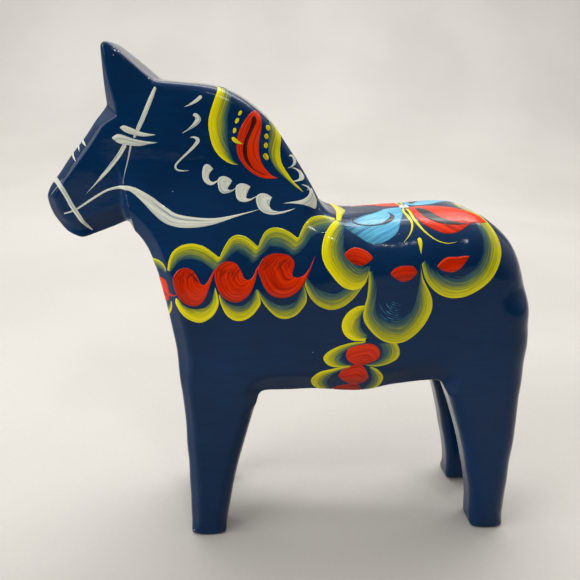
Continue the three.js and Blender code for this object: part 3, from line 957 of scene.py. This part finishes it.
    folds = [
        ([(-66, 180.6), (-62.4, 178.8), (-59.2, 175.6), (-56.4, 172.4)], [0.3, 1.6, 1.9, 0.4]),
        ([(-38.4, 184.2), (-35.4, 181.2), (-33.4, 176.6)], [0.3, 0.8, 0.3]),
        ([(-7, 187.4), (-5.2, 184.6), (-5.6, 179.6)], [0.3, 0.9, 0.4])]
    for points, widths in folds:
        work.line(OVER_BACK, points, widths, tone=(0.95, 0.8), load=(0.8, 0.8),
                  lift=PAINT + 2 * OVER)
    bristle_marks = [
        ((-69.6, 178.4), (-60.6, 180.4), (3.4, -8.4)),
        ((-45.8, 182.6), (-35.6, 181.6), (-0.8, -10)),
        ((-21.4, 187.2), (-6.4, 187.6), (-1, -8.6))]
    for first, last, (lean, drop) in bristle_marks:  # dark hairs that trail from each wave's top
        for k in range(9):
            x, z = (a + (b - a) * k / 8 for a, b in zip(first, last))
            reach = 0.55 + 0.3 * math.sin(2.7 * k + x)
            mark = [(x + lean * t * reach - 1.6 * t * t, z + drop * t * reach)
                    for t in (0, 0.5, 1)]
            work.line(OVER_BACK, mark, [0.6, 0.85, 0.6], tone=(0.9, 0.7), load=(0.9, 0.7),
                      lift=PAINT + 5 * OVER)
    chest_petal = (
        [(-76.4, 168.4), (-77.4, 172.4), (-80, 174.4), (-84, 174.7), (-88, 173.4), (-91.6, 170.4),
         (-95, 168.2), (-98.4, 169.4), (-101.2, 173), (-103, 177)],
        [(-76.2, 167.6), (-77, 162.6), (-80.4, 159.6), (-85.4, 158.9), (-90.4, 160.2),
         (-94.8, 162.8), (-98.4, 166.4), (-100.8, 170.2), (-102.2, 173.6), (-103.2, 176.8)])
    work.band(ROUND_CHEST, *chest_petal, tone=(0.05, 0.4), lift=PAINT + OVER)
    work.line(ROUND_CHEST, [(-78, 166), (-74.5, 165.3), (-70.4, 166.4)], [3.4, 1.6, 0.7],
              tone=(0.2, 0.4), lift=PAINT + OVER)
    heart = [(-105.8, 168.4), (-108, 173.4), (-111.6, 174.8), (CHEST_MIDDLE, 173.2)]
    heart_bottom = [(-105.8, 167.6), (-107.2, 162.8), (-110.6, 159.6), (CHEST_MIDDLE, 157.8)]
    heart, heart_bottom = (edge + mirrored_about(CHEST_MIDDLE, edge)[1:]
                           for edge in (heart, heart_bottom))
    work.band(ROUND_CHEST, heart, heart_bottom, sides=[NEAR], tone=(0.05, 0.4), lift=PAINT + OVER)
    work.finish()


def paint_saddle(yellow, red, blue, dark, cream):
    """The saddle: a pinwheel of petals over the back inside three big loaded arcs."""
    work = Brushwork("paint_saddle_yellow", "yellow_paint", yellow)
    middle_arc = (
        [(37.8, 181), (38.4, 173), (38, 165), (36.6, 158), (37.2, 151), (41, 145), (46, 140.4),
         (51.4, 137.4), (57.4, 136.4), (63.2, 137.8), (69, 142.2), (74, 148.4), (77, 155),
         (77.6, 160.4), (76.4, 166), (73.4, 172), (70.2, 177.6), (68.2, 184.8)],
        [(39.8, 181), (42, 174), (42.2, 167), (42.2, 160), (43.4, 155), (45.8, 151.4), (49, 149),
         (52.8, 147.8), (56.8, 147.6), (60.8, 148.6), (64.4, 151.2), (67.2, 154.4), (69, 158),
         (69.8, 162), (70, 166.8), (69.6, 172), (69, 178), (68, 184.6)])
    work.band(OVER_BACK, *middle_arc, tone=(0.28, 1), fades=True, drift=(0.08, -0.14),
              reach=1.46)
    front_arc = (
        [(20.4, 210.8), (16, 205.6), (12.8, 200), (11.2, 194), (11.5, 188.6), (13.6, 183.2),
         (17.2, 178.2), (21.2, 173.8), (25.4, 170.8), (29.6, 169.6), (33.4, 170.4), (36.2, 173),
         (38.4, 180.6)],
        [(24.6, 207.6), (23.8, 203.6), (23, 199.4), (22.8, 195.2), (23.6, 191.4), (25.4, 188.2),
         (28, 185.6), (30.8, 184), (33.4, 183), (35.4, 182.6), (37, 182.6), (38.2, 183),
         (39.4, 184)])
    work.band(OVER_BACK, *front_arc, tone=(0, 1), fades=True, lift=PAINT + OVER, reach=1.15)
    rear_arc = (
        [(68.6, 185.2), (71, 177.2), (75, 171.6), (80, 167.6), (85, 165.4), (90, 164.9),
         (95.4, 165.9), (101.2, 168.6), (107, 172.8), (112, 178.8), (115.6, 186), (117.2, 193),
         (116.6, 200), (114.4, 206.4), (111.4, 212), (108.4, 217.6), (106, 223), (104, 229),
         (102.6, SPINE + ROUND_OVER)],
        [(70.8, 187.4), (74.4, 183.4), (78.6, 180.6), (83, 178.8), (87.4, 178), (91.4, 178.4),
         (95.2, 179.8), (98.8, 182.4), (101.8, 185.8), (103.8, 189.6), (104.9, 193.8),
         (104.8, 198.6), (103.4, 203.6), (101.6, 208.2), (100, 213), (98.6, 218), (97.6, 223.4),
         (96.8, 229), (96, SPINE + ROUND_OVER)])
    work.band(OVER_BACK, *rear_arc, tone=(0.12, 1), fades=True, drift=(0.12, -0.08), reach=1.1)
    strap = (
        [(20.4, 209.6), (21.4, 217), (22.4, 225), (23, SPINE + ROUND_OVER)],
        [(23.4, 209.6), (25.4, 217), (28, 226), (29.6, SPINE + ROUND_OVER)])
    work.band(OVER_BACK, *strap, tone=(0, 0.4), lift=PAINT + 2 * OVER)
    work.line(OVER_BACK, [(64.4, 230), (62.8, 222), (64.2, 215), (65, 209.6), (64, 204.6),
                          (61.4, 200), (57, 195.4)], [1.6, 1.9, 2.2, 1.7, 1.4, 1, 0.4],
              tone=(0.1, 0.3), load=(1, 0.75))
    work.line(OVER_BACK, [(66, 228), (66.4, 217), (67.8, 210), (70.8, 204), (75, 199.8),
                          (80, 197), (86, 196.2), (94, 198.6)],
              [2, 2.1, 2.1, 1.7, 1.3, 1.1, 0.8, 0.3], tone=(0.1, 0.3), load=(1, 0.7))
    work.line(OVER_BACK, [(67.5, 199.8), (68.1, 196.6), (68.5, 190.2)], [2.4, 2.9, 0.5],
              tone=(0, 0.25))
    work.finish()

    leaf = (
        [(23, 207), (27.4, 211), (33, 215.8), (38.4, 219.6), (43.6, 222), (48.6, 225.6),
         (54, 230.8), (63.4, 232.4)],
        [(23, 206.6), (27.8, 203.2), (33, 200.2), (38, 197), (42.8, 195.9), (48, 197.4),
         (52.8, 200.2), (56.2, 203.6), (58.2, 208.6), (60.2, 214.6), (62.2, 221), (63.6, 232)])
    petal = (
        [(110.4, 211), (107, 216.4), (100.6, 221), (95, 224.6), (89, 229.2), (82, 232.4),
         (74.6, 233.2), (67.6, 230.6)],
        [(110.2, 210.2), (105, 208.3), (100, 208), (96.6, 205.8), (92, 203), (87, 201.7),
         (82, 202), (76.2, 204.6), (71.2, 208.6), (68.4, 213.4), (67.2, 220), (67, 230)])
    work = Brushwork("paint_saddle_blue", "light_blue_paint", blue)
    work.band(OVER_BACK, *leaf, sides=[NEAR], tone=(0.3, 0.75), load=(0.2, 1.1), lift=PAINT + OVER)
    work.band(OVER_BACK, *petal, sides=[FAR], tone=(0.3, 0.75), lift=PAINT + OVER)
    for k in range(10):  # the dry end of the brush, going round inside the middle arc
        reach, turn = 4.2 + 1.3 * k, 0.78 + 0.02 * k + 0.3 * math.sin(2.4 * k)
        arc = [(56 + 0.9 * reach * math.sin(a), 166.4 - 1.08 * reach * math.cos(a))
               for a in np.linspace(-turn, turn, 9) - 0.14 + 0.2 * math.sin(1.9 * k)]
        work.line(OVER_BACK, arc, [0.3, 0.6, 0.9, 0.8, 0.6, 0.8, 0.6, 0.5, 0.3],
                  tone=(0.75, 0.9), load=(0.56, 0.34))
    work.finish()

    work = Brushwork("paint_saddle_red", "red_paint", red)
    work.band(OVER_BACK, *petal, sides=[NEAR], tone=(0, 0.35), lift=PAINT + OVER)
    work.band(OVER_BACK, *leaf, sides=[FAR], tone=(0, 0.35), lift=PAINT + OVER)
    ovals = [
        ([(23.8, 190), (27, 193), (31, 194.2), (36, 192.8), (39, 190.8), (40.8, 188.6)],
         [(23.8, 189.6), (26, 186.6), (29.4, 184.6), (33.8, 183.8), (38, 185.4), (40.8, 188)]),
        ([(51, 179.8), (53, 182.4), (56.4, 183.9), (60.4, 184.3), (64.2, 183.8), (66.6, 181)],
         [(51, 179.2), (53.8, 176.8), (57.6, 175), (61.4, 175.4), (64.8, 177.6), (66.6, 180.4)]),
        ([(77.8, 184.4), (80, 187), (83.4, 188.8), (89, 189), (93, 189.6), (96, 189.6)],
         [(77.8, 183.6), (81.6, 181.2), (87, 180.5), (91, 182.4), (93.6, 185.4), (96, 189.2)])]
    for top, bottom in ovals:
        work.band(OVER_BACK, top, bottom, tone=(0.15, 0.5), lift=PAINT + OVER)
    work.finish()

    work = Brushwork("paint_saddle_dark", "dark_paint", dark)
    work.line(OVER_BACK, [(34.4, 217.8), (31, 214.4), (30.6, 211.6), (34, 209.6), (40, 208.8),
                          (46, 209.5), (51, 211.6), (54.4, 215), (54.6, 218.6), (53, 222.4)],
              [1.2, 2, 2.3, 2, 2, 2.4, 3.3, 3.9, 2.9, 1.1], tone=(0.3, 0.9),
              lift=PAINT + 2 * OVER)
    bar = (
        [(70.6, 229), (70.4, 222), (72, 215.6), (76.4, 210.6), (82, 208), (89, 206.9),
         (98, 206.8)],
        [(72.6, 229), (77.6, 223), (79.4, 218.4), (82.6, 214), (87, 211.2), (92.4, 209.3),
         (99, 207.4)])
    work.band(OVER_BACK, *bar, tone=(0.3, 1), lift=PAINT + 2 * OVER)
    work.finish()

    work = Brushwork("paint_saddle_dot", "cream_paint", cream)
    work.line(OVER_BACK, [(65.6, SPINE - 4.4), (66, SPINE + 4)], [6, 6], sides=[NEAR],
              tone=(0, 0.2), lift=PAINT + 3 * OVER)
    work.finish()


def paint_girth(yellow, red):
    """The girth: curls either side of red beads, down the flank and under the belly."""
    work = Brushwork("paint_girth_yellow", "yellow_paint", yellow)
    left_curl = (
        [(39.8, 137.8), (31, 136.8), (25, 134.8), (19.4, 131.4), (15.6, 127.6), (14.4, 124.2),
         (16, 121), (19.4, 118.7), (26, 118.4), (31.6, 119.6)],
        [(38.6, 135.4), (32.4, 133.6), (28.2, 131.2), (25.8, 128.4), (25, 125.4), (25.6, 123),
         (27.2, 121.4), (29, 120.6), (30.4, 120.4), (31.8, 120.2)])
    right_curl = (
        [(57.8, 136.6), (60, 132), (60.7, 127.6), (59.2, 123.6), (55.4, 120.6), (50.2, 118.6),
         (44.6, 118.4), (39.6, 119.6)],
        [(47.6, 136), (49.6, 132.4), (50.2, 128.8), (49.6, 125.6), (47.8, 123.2), (45.4, 121.8),
         (42.6, 120.8), (39.8, 120.2)])
    work.band(UNDER_BELLY, *left_curl, tone=(0.1, 1), fades=True, reach=1.15)
    work.band(UNDER_BELLY, *right_curl, tone=(0.3, 1), fades=True, reach=1.15)
    low_left = (
        [(31.4, 119.6), (25, 118.4), (19, 117), (13, 115.2), (9.6, 111.8), (8.3, 107), (9, 101.4),
         (11.4, 97), (16, 93.6), (22, 92.4)],
        [(30.6, 118.6), (26, 116.8), (21.6, 114.2), (18.8, 110.8), (17.8, 107), (18, 103),
         (19, 99.6), (20.2, 97), (21.4, 95), (22.6, 93)])
    low_right = (
        [(43.6, 118.6), (48, 116.4), (51.2, 112), (52.7, 107), (52.5, 101), (50, 96), (45.4, 93),
         (40, 92.2)],
        [(42.4, 118.2), (43.8, 114.8), (45, 110.6), (45, 106.4), (44.4, 102.2), (43, 98.4),
         (41.4, 95.4), (39.6, 92.8)])
    for edge_pair, outer_tone in ((low_left, 0.08), (low_right, 0.22)):
        work.band(UNDER_BELLY, *edge_pair, tone=(outer_tone, 1), fades=True, lift=PAINT + OVER,
                  reach=1.15)
    repeat = 26.4     # guessed: the low curls come once more under the belly, out of sight
    for edge_pair in (low_left, low_right):
        outer, inner = ([(x, z - repeat) for x, z in edge] for edge in edge_pair)
        work.band(UNDER_BELLY, outer, inner, tone=(0.22, 1), fades=True, lift=PAINT + OVER)
    top_curl = (
        [(38, 160.6), (32.6, 159.9), (28, 157), (25.2, 152.6), (24.4, 148), (25.6, 143.4),
         (28.6, 140), (32.6, 137.8), (39, 137.6)],
        [(37.2, 158), (35, 156), (33.6, 152.8), (33, 149.4), (33.6, 146.2), (35, 143.6),
         (36.8, 141.8), (38.2, 140.8), (39.6, 140)])
    work.band(UNDER_BELLY, *top_curl, tone=(-0.2, 0.88), fades=True, lift=PAINT + OVER, reach=1.4)
    work.finish()

    work = Brushwork("paint_girth_red", "red_paint", red)
    bead = (
        [(28, 127.6), (29.2, 131.6), (32.4, 134), (36.8, 135.2), (41.6, 136), (45.8, 134),
         (48.5, 129.6), (48.2, 125.6)],
        [(28, 127), (28.8, 124), (31.2, 121.4), (34.4, 119.8), (38.4, 119.8), (42, 121),
         (45.6, 122.4), (48, 125)])
    second = (
        [(24.2, 112.6), (26, 116.4), (30, 118.8), (33.4, 120.4), (36.6, 120.4), (39.6, 118),
         (41.8, 113.8), (42.8, 110.4)],
        [(24.2, 112), (25.4, 109.2), (28.2, 106), (31.4, 103.2), (34.6, 101.9), (38.2, 102.9),
         (41.2, 105), (42.8, 109.6)])
    third = (
        [(22.8, 96.4), (26, 99.4), (30, 101.4), (33.8, 102.6), (37.2, 101.4), (39.4, 98.4),
         (40, 95.4)],
        [(22.8, 95.8), (24, 92), (27.6, 88.8), (32, 87.4), (36, 88.6), (38.8, 91.2), (40, 94.8)])
    # each bead lower down is painted darker: painted shade towards the belly
    for (top, bottom), tone in ((bead, (0.1, 0.36)), (second, (0.24, 0.5)), (third, (0.45, 0.66))):
        work.band(UNDER_BELLY, top, bottom, tone=tone, lift=PAINT + 2 * OVER)
    middle = (
        [(24, BELLY_MIDDLE + 13), (30, BELLY_MIDDLE + 17), (37, BELLY_MIDDLE + 15),
         (40.6, BELLY_MIDDLE + 9)],
        [(24, BELLY_MIDDLE + 12), (27, BELLY_MIDDLE + 6), (33, BELLY_MIDDLE + 3.4),
         (40.6, BELLY_MIDDLE + 8)])
    work.band(UNDER_BELLY, *middle, tone=(0.2, 0.55), lift=PAINT + 2 * OVER)
    work.finish()


def paint_mane(yellow, red, brown, amber):
    """The mane: two loaded crescents over the crest, a red petal, and rows of yellow beads."""
    work = Brushwork("paint_mane_yellow", "yellow_paint", yellow)
    front = (
        [(-41.8, 287), (-44.6, 281), (-47.4, 275), (-49.8, 268), (-51.6, 261), (-52.1, 254.6),
         (-50.6, 248), (-47.6, 242.8), (-43.6, 239.2), (-40, 237.4), (-35.6, 236.8)],
        [(-39.8, 286.6), (-39.3, 281), (-38.8, 275), (-39.2, 268), (-39.6, 261), (-40, 254.6),
         (-40.2, 249.2), (-39.8, 244.6), (-38.8, 241), (-37.4, 238.4), (-35.6, 237)])
    work.band(OVER_CREST, *front, tone=(-0.06, 1), fades=True)
    rear = (
        [(-12.6, 268), (-11, 262), (-10.4, 256), (-11.4, 250.6), (-11.4, 246), (-9.6, 240),
         (-6.6, 234.2), (-3.6, 229.4), (-0.6, 225.8), (1.7, 222.8)],
        [(-17, 268), (-18.4, 262), (-19, 256), (-18.4, 250), (-17.2, 244.6), (-14.6, 239),
         (-11, 234), (-7, 230), (-2.8, 226), (1.4, 222.6)])
    work.band(OVER_CREST, *rear, tone=(0.02, 0.8))
    left_beads = [
        ((-34.4, 266.6), (-35.2, 264.2), 2.2),
        ((-35.2, 263.4), (-36.4, 260.6), 2.4),
        ((-36.4, 258.8), (-37.2, 255.6), 2.5)]
    for start, end, width in left_beads:
        work.line(OVER_CREST, [start, end], [width, width * 0.8], tone=(0, 0.3))
    work.line(OVER_CREST, [(-38.2, 253.6), (-36.6, 251.6), (-34, 250.4), (-31.6, 249.8)],
              [2.2, 2.8, 2.2, 0.8], tone=(0, 0.35), lift=PAINT + 2 * OVER)
    right_beads = [
        ((-20.4, 258.6), (-18.4, 255.8), 2.9),
        ((-20.6, 254.6), (-19, 252.2), 2.3),
        ((-19.8, 250.8), (-18.8, 248), 2.5),
        ((-20, 245.2), (-17.6, 241.6), 3.5)]
    for start, end, width in right_beads:
        work.line(OVER_CREST, [start, end], [width, width * 0.75], tone=(0.1, 0.4),
                  lift=PAINT + OVER)
    work.finish()

    work = Brushwork("paint_mane_amber", "yellow_paint", amber)
    for start, end, width in right_beads:
        work.line(OVER_CREST, [start, end], [width * 0.55, width * 0.4], tone=(0.1, 0.5),
                  lift=PAINT + 2 * OVER)
    work.finish()

    work = Brushwork("paint_mane_red", "red_paint", red)
    petal = (
        [(-26.6, 266.8), (-30.4, 264.2), (-33.4, 259), (-35.4, 253), (-36.4, 247), (-35.6, 241.6),
         (-33, 237), (-29.6, 233.6), (-25.6, 231.2), (-21, 230.2), (-16.4, 230.4), (-12.2, 231.2)],
        [(-26.2, 266.8), (-24.4, 265), (-23.2, 261), (-22.8, 255), (-22.9, 250), (-22.5, 245.2),
         (-21.4, 240.6), (-19.6, 237), (-17.6, 234.4), (-15.8, 232.8), (-14, 231.8),
         (-12.2, 231.5)])
    work.band(OVER_CREST, *petal, tone=(0.25, 0), lift=PAINT + OVER)
    work.finish()

    work = Brushwork("paint_mane_dark", "dark_paint", brown)
    work.line(OVER_CREST, [(-28.4, 263.8), (-27.3, 261), (-28, 257.4), (-30, 252), (-31.2, 247),
                           (-31, 241.6), (-28.8, 237.2), (-25, 234), (-19.6, 232), (-14.6, 231.2)],
              [2.2, 3.3, 2.9, 2.9, 3.5, 3.4, 2.6, 1.8, 1.1, 0.4], tone=(0.05, 0.8), load=(0.9, 1),
              lift=PAINT + 2 * OVER)
    work.finish()


def paint_bridle(cream):
    """The bridle and the face: cheek strap, noseband, rein and an eye of two leaves."""
    work = Brushwork("paint_bridle_cream", "cream_paint", cream)
    lines = [
        ([(-80.3, 278), (-83.2, 271), (-87.2, 262.4), (-90.8, 254.8), (-93, 250.4)],
         [1.8, 2.8, 2.9, 2.6, 1.4], (1, 0.9)),
        ([(-97.6, 247.4), (-101, 242.2), (-105, 237), (-109.6, 231.4), (-114.2, 226.4),
          (-119, 221.6), (-124.4, 216.2)],
         [2.8, 2.8, 2.7, 2.4, 1.5, 0.9, 0.3], (0.95, 0.6)),
        ([(-94.6, 247), (-96, 242), (-98.5, 233), (-100, 225.4)],
         [1.6, 1.4, 1.1, 0.7], (0.8, 0.5))]
    for points, widths, load in lines:
        work.line(OVER_CREST, points, widths, tone=(0, 0.4), load=load)
    leaves = [
        ([(-100.4, 256.4), (-98.2, 257.5), (-95, 256.6), (-90, 254.4), (-85.2, 253.3),
          (-80.2, 252.8)],
         [(-100.3, 255.8), (-98, 253.8), (-94, 252.4), (-90, 251.5), (-86, 251.4),
          (-80.2, 252.6)]),
        ([(-105.2, 250.8), (-102.2, 252.7), (-99, 252.3), (-94, 250.5), (-88, 249.4),
          (-79.6, 248.7)],
         [(-105.2, 250.2), (-101.6, 247.6), (-96, 246.4), (-90, 246.2), (-85, 247.4),
          (-79.6, 248.4)])]
    for top, bottom in leaves:
        work.band(OVER_CREST, top, bottom, tone=(0.1, 0.5), load=(1, 0.7), lift=PAINT + OVER)
    rein = (
        [(-135.4, 207.9), (-131, 209.5), (-127, 211.4), (-122, 214.6), (-116, 218.6),
         (-110, 222.1), (-105, 223.8), (-98.4, 224.8), (-93, 223.9), (-88, 221.6), (-83, 218.6),
         (-79, 215.6), (-75, 213), (-70, 210.4), (-60, 208.6), (-50, 208.4), (-40, 209.6),
         (-30, 211.8), (-23, 213.6)],
        [(-135.2, 206.8), (-131, 207.8), (-127, 209.6), (-122, 212.7), (-116, 216.6),
         (-110, 220.3), (-105, 221.8), (-100, 222.1), (-96, 221.4), (-92, 218.5), (-88, 214.6),
         (-83.5, 210), (-79, 206.2), (-74, 204), (-66, 202.8), (-56, 203.4), (-45, 206.2),
         (-33, 210.2), (-23, 213.2)])
    work.band(OVER_CREST, *rein, tone=(0, 0.35), load=(0.95, 0.8))
    work.line(ROUND_FACE, [(-119.8, 197.2), (-123, 200.6), (-126.2, 205.4), (-129.6, 211.2),
                           (-133, 218.4), (-136.4, 223.8), (-143.3, 228.6), (-151.3, 234.6)],
              [1, 2.2, 2.9, 3.1, 3, 3.4, 3.4, 3.4], tone=(0.05, 0.4), load=(0.75, 1),
              lift=PAINT + OVER)
    work.line(ROUND_FACE, [(-145, 217.4), (-140, 221), (-136.6, 224.2), (-133.4, 228)],
              [0.5, 0.9, 1, 0.4], tone=(0.2, 0.5), load=(0.7, 0.6))
    ticks = [
        ([(-125, 250), (-121.4, 246.8), (-119, 244.6)], [2, 1.8, 0.4]),
        ([(-127.4, 247.2), (-125, 244.2), (-123.8, 241.8)], [1.8, 1.5, 0.4]),
        ([(-130.4, 242.6), (-127.6, 239), (-125.2, 236.4)], [2, 1.7, 0.4])]
    for points, widths in ticks:
        work.line(ROUND_FACE, points, widths, tone=(0.1, 0.4), load=(1, 0.7))
    work.finish()


def paint_scrolls(cream):
    """Loose curls behind the cheek, a row of loops down the neck, and curls along the crest."""
    work = Brushwork("paint_scrolls_cream", "cream_paint", cream)
    curls = [
        ([(-53.9, 275.6), (-57, 272.8), (-61, 270.1), (-66.4, 267.2)], [2.3, 2.2, 1.5, 0.3]),
        ([(-60.6, 263.4), (-58.6, 263.9), (-57.6, 262), (-59.2, 259.2), (-62.6, 256.2),
          (-68.6, 252.4)],
         [1.2, 3.4, 3.8, 2.8, 1.6, 0.3]),
        ([(-62.6, 251.6), (-60, 251.7), (-58.1, 250.2), (-59.8, 247.4), (-64, 243.3), (-68.4, 239),
          (-70.7, 236), (-70, 233.8), (-66.6, 233.2), (-61.6, 233.9)],
         [0.7, 1.6, 2.7, 2.2, 1.7, 1.5, 1.6, 1.5, 1.2, 0.3]),
        ([(-6.6, 243.4), (-3.6, 243.9), (-2.3, 241.6), (-3.2, 239.2), (-5.2, 237.6), (-7.4, 237)],
         [0.8, 2.2, 3, 2, 1.1, 0.5]),
        ([(-7.2, 237), (-3, 236.7), (0.2, 234.6), (1, 231.6), (-1.2, 229.8), (-5, 229.2),
          (-8.2, 228.4)],
         [0.4, 1.1, 2.4, 3.5, 1.6, 0.8, 0.3]),
        ([(0, 227.6), (3.4, 226.2), (5.4, 224), (6.2, 221.4)], [0.6, 1.4, 2, 2.6])]
    for points, widths in curls:
        work.line(OVER_CREST, points, widths, tone=(0.1, 0.5), load=(1, 0.7))
    loops = [
        ([(-49.8, 234.8), (-51.4, 236.4), (-53.2, 237.4), (-55.2, 236.2), (-56.3, 232.6),
          (-56.1, 229.3), (-54.6, 226.9), (-52, 225.6), (-49.6, 226), (-46.8, 228.2)],
         [(-49.8, 234.2), (-50.2, 234), (-50.8, 233.4), (-51.4, 232.7), (-52, 231.8), (-52.3, 230),
          (-51.6, 228.4), (-50.4, 227.7), (-49, 228), (-46.9, 229.2)]),
        ([(-39.3, 228.3), (-41.2, 230), (-43.9, 230.8), (-46.4, 230.2), (-47.7, 228.4),
          (-47.5, 225.8), (-46.8, 223), (-44.8, 221.2), (-41.8, 221.4), (-39, 222.5),
          (-36.6, 224.4)],
         [(-39.3, 227.8), (-39.6, 227.5), (-39.9, 227), (-40.2, 226.5), (-40.6, 226), (-41, 225.3),
          (-41.4, 224.6), (-41.6, 223.8), (-40.6, 223.4), (-38.8, 223.9), (-36.8, 225)]),
        ([(-28.9, 225.2), (-31.2, 226.5), (-34.3, 227), (-36.5, 226.3), (-37.6, 224.8),
          (-37.6, 222.2), (-37.1, 219.4), (-35.4, 217.3), (-32.4, 216.6), (-28.9, 217.4),
          (-25.2, 219.8)],
         [(-29, 224.6), (-29.3, 224.3), (-29.6, 223.8), (-29.9, 223.2), (-30.2, 222.6),
          (-30.6, 221.6), (-31, 220.4), (-31.1, 219.3), (-30.4, 218.8), (-28.6, 218.9),
          (-25.4, 220.6)]),
        ([(-16.6, 219.6), (-19.7, 221.3), (-22.8, 221.8), (-25.1, 220.9), (-26, 219.2),
          (-25.6, 216.2), (-24.2, 213.4), (-21.2, 211.1), (-16.6, 210.1), (-11.2, 210.9),
          (-6.6, 212.3), (-2.8, 213.9)],
         [(-16.7, 219), (-17, 218.6), (-17.3, 218), (-17.6, 217.3), (-17.8, 216.6), (-17.9, 215.6),
          (-17.6, 214.4), (-16.8, 213.3), (-14.8, 212.6), (-11.6, 212.4), (-7.4, 213.2),
          (-3, 214.3)])]
    for outer, inner in loops:
        work.band(OVER_CREST, outer, inner, tone=(0.4, 0.05), load=(1, 0.76), lift=PAINT + OVER)
    fan = (
        [(-12.4, 216.3), (-8, 217.2), (-3, 218), (0.8, 219.2), (3.6, 221.2), (5, 223.6),
         (6.4, 225.8)],
        [(-12.2, 216.1), (-8, 216.3), (-4, 216.2), (1, 215.7), (5, 214.6), (9, 213.8),
         (10.4, 219.4)])
    work.band(OVER_CREST, *fan, tone=(0.1, 0.4), load=(0.6, 1), lift=PAINT + OVER)
    work.finish()


# ---- Floor, light and camera --------------------------------------------------------------------
# Places are in metres.

ROOM_AS_SEEN = 0.62              # strength of the room where the camera looks straight at it
SENSOR_WIDTH, LENS_LENGTH = 36.0, 39.72
CAMERA_PLACE = (-0.0339, -0.3845, 0.2865)
CAMERA_RIGHT = (0.9971, -0.0708, 0.0269)
CAMERA_FORWARD = (0.0757, 0.9442, -0.3205)


def studio_floor():
    """A plain pale floor that sweeps up into a wall behind, without a visible horizon."""
    nodes = Nodes(bpy.data.materials.new("studio_floor"))
    place = nodes.place()
    shade = nodes.span(nodes.noise(place, 3, 3), 0.3, 0.7)
    colour = nodes.mix(shade, "#b0aca6", "#b7b3ad")
    fleck = nodes.noise(place, 260, 3)
    material = nodes.surface(colour, nodes.span(fleck, 0.3, 0.7, 0.6, 0.75),
                             nodes.bump(fleck, 0.0001))
    front, back, side, bend, top = -1.6, 1.2, 3.2, 0.9, 2.8
    turns = np.linspace(0, math.pi / 2, 40)
    sweep = [(back + bend * math.sin(a), bend - bend * math.cos(a)) for a in turns]
    profile = [(front, 0), *sweep, (back + bend, top)]
    corners = [(x, y, z) for y, z in profile for x in (-side, side)]
    faces = [(k, k + 1, k + 3, k + 2) for k in range(0, len(corners) - 2, 2)]
    mesh = bpy.data.meshes.new("studio_floor")
    mesh.from_pydata(corners, [], faces)
    link(mesh, "studio_floor", material)


def soft_light(name, place, target, size, power, colour=(1, 1, 1)):
    """A rectangular soft box, with its power in watts."""
    data = bpy.data.lights.new(name, "AREA")
    data.shape = "RECTANGLE"
    data.size, data.size_y = size
    data.energy = power
    data.color = colour
    lamp = bpy.data.objects.new(name, data)
    bpy.context.collection.objects.link(lamp)
    lamp.location = place
    lamp.rotation_mode = "QUATERNION"
    lamp.rotation_quaternion = (Vector(target) - Vector(place)).to_track_quat("-Z", "Y")


def studio_light():
    """A pale room that is brighter above and behind than in front, with soft boxes at the left,
    high behind and on the wall, and one small lamp high in front for the glints."""
    world = bpy.data.worlds.new("room")
    bpy.context.scene.world = world
    nodes = Nodes(world)
    way = nodes.add("SeparateXYZ", {0: nodes.add("TexCoord").outputs["Generated"]}).outputs
    height = nodes.span(way["Z"], -0.2, 0.9, 0.25, 1.7)
    depth = nodes.span(way["Y"], -0.8, 0.5, 0.15, 1.0)
    room = nodes.times(height, depth)
    seen = nodes.add("LightPath").outputs["Is Camera Ray"]
    strength = nodes.add("Mix", {"Factor": seen, 2: room, 3: ROOM_AS_SEEN}).outputs[0]
    background = nodes.add("Background", {"Color": (1, 0.985, 0.96, 1), "Strength": strength})
    nodes.add("OutputWorld", {"Surface": background.outputs[0]})

    middle = Vector((0, 0, 0.15))
    wall = Vector((0.2, 2.1, 0.7))
    soft_light("lamp", (0.13, -0.72, 1.15), middle, (0.09, 0.07), 1.8, (1, 0.97, 0.93))
    soft_light("left_fill", (-1.3, -0.6, 0.9), middle, (1.0, 1.0), 15, (0.97, 0.98, 1))
    soft_light("high_back", (0.2, 0.9, 1.8), middle, (1.6, 1.2), 14)
    soft_light("wall_wash", (0.1, 1.0, 2.3), wall, (3.2, 0.6), 56, (0.98, 0.99, 1))


def camera():
    """At the photograph's angle, close to the horse: a wide view that draws the near feet down."""
    data = bpy.data.cameras.new("camera")
    data.sensor_width, data.lens = SENSOR_WIDTH, LENS_LENGTH
    data.clip_start = 0.02
    lens = bpy.data.objects.new("camera", data)
    bpy.context.collection.objects.link(lens)
    right = Vector(CAMERA_RIGHT).normalized()
    up = right.cross(Vector(CAMERA_FORWARD)).normalized()
    away = right.cross(up)
    turned = Matrix((right, up, away)).transposed().to_4x4()
    lens.matrix_world = Matrix.Translation(CAMERA_PLACE) @ turned
    bpy.context.scene.camera = lens


# ---- The scene ----------------------------------------------------------------------------------

yellow = painted("yellow_loaded_brush", YELLOW_TONES, "#8f9a20", streakiness=0.9,
                 see_through=0.3, hairs=1.5)
red = painted("red_brush", RED_TONES, "#861804", streakiness=1.6, see_through=0.55)
cream = painted("cream_brush", CREAM_TONES, "#5a7890", streakiness=1.7, see_through=0.85)
blue = painted("light_blue_brush", BLUE_TONES, "#3a80a8", streakiness=1.5, see_through=0.6)
dark = painted("dark_brush", DARK_TONES, "#1c1a1e", see_through=0.5)
brown = painted("brown_brush", BROWN_TONES, "#7a2208", see_through=0.6)
amber = painted("amber_brush", AMBER_TONES, "#b8900c", see_through=0.6)

make_boards((lacquer(), bare_pine()))
paint_garland(yellow, red)
paint_saddle(yellow, red, blue, dark, cream)
paint_girth(yellow, red)
paint_mane(yellow, red, brown, amber)
paint_bridle(cream)
paint_scrolls(cream)

studio_floor()
studio_light()
camera()

scene = bpy.context.scene
scene.view_settings.view_transform = "Standard"
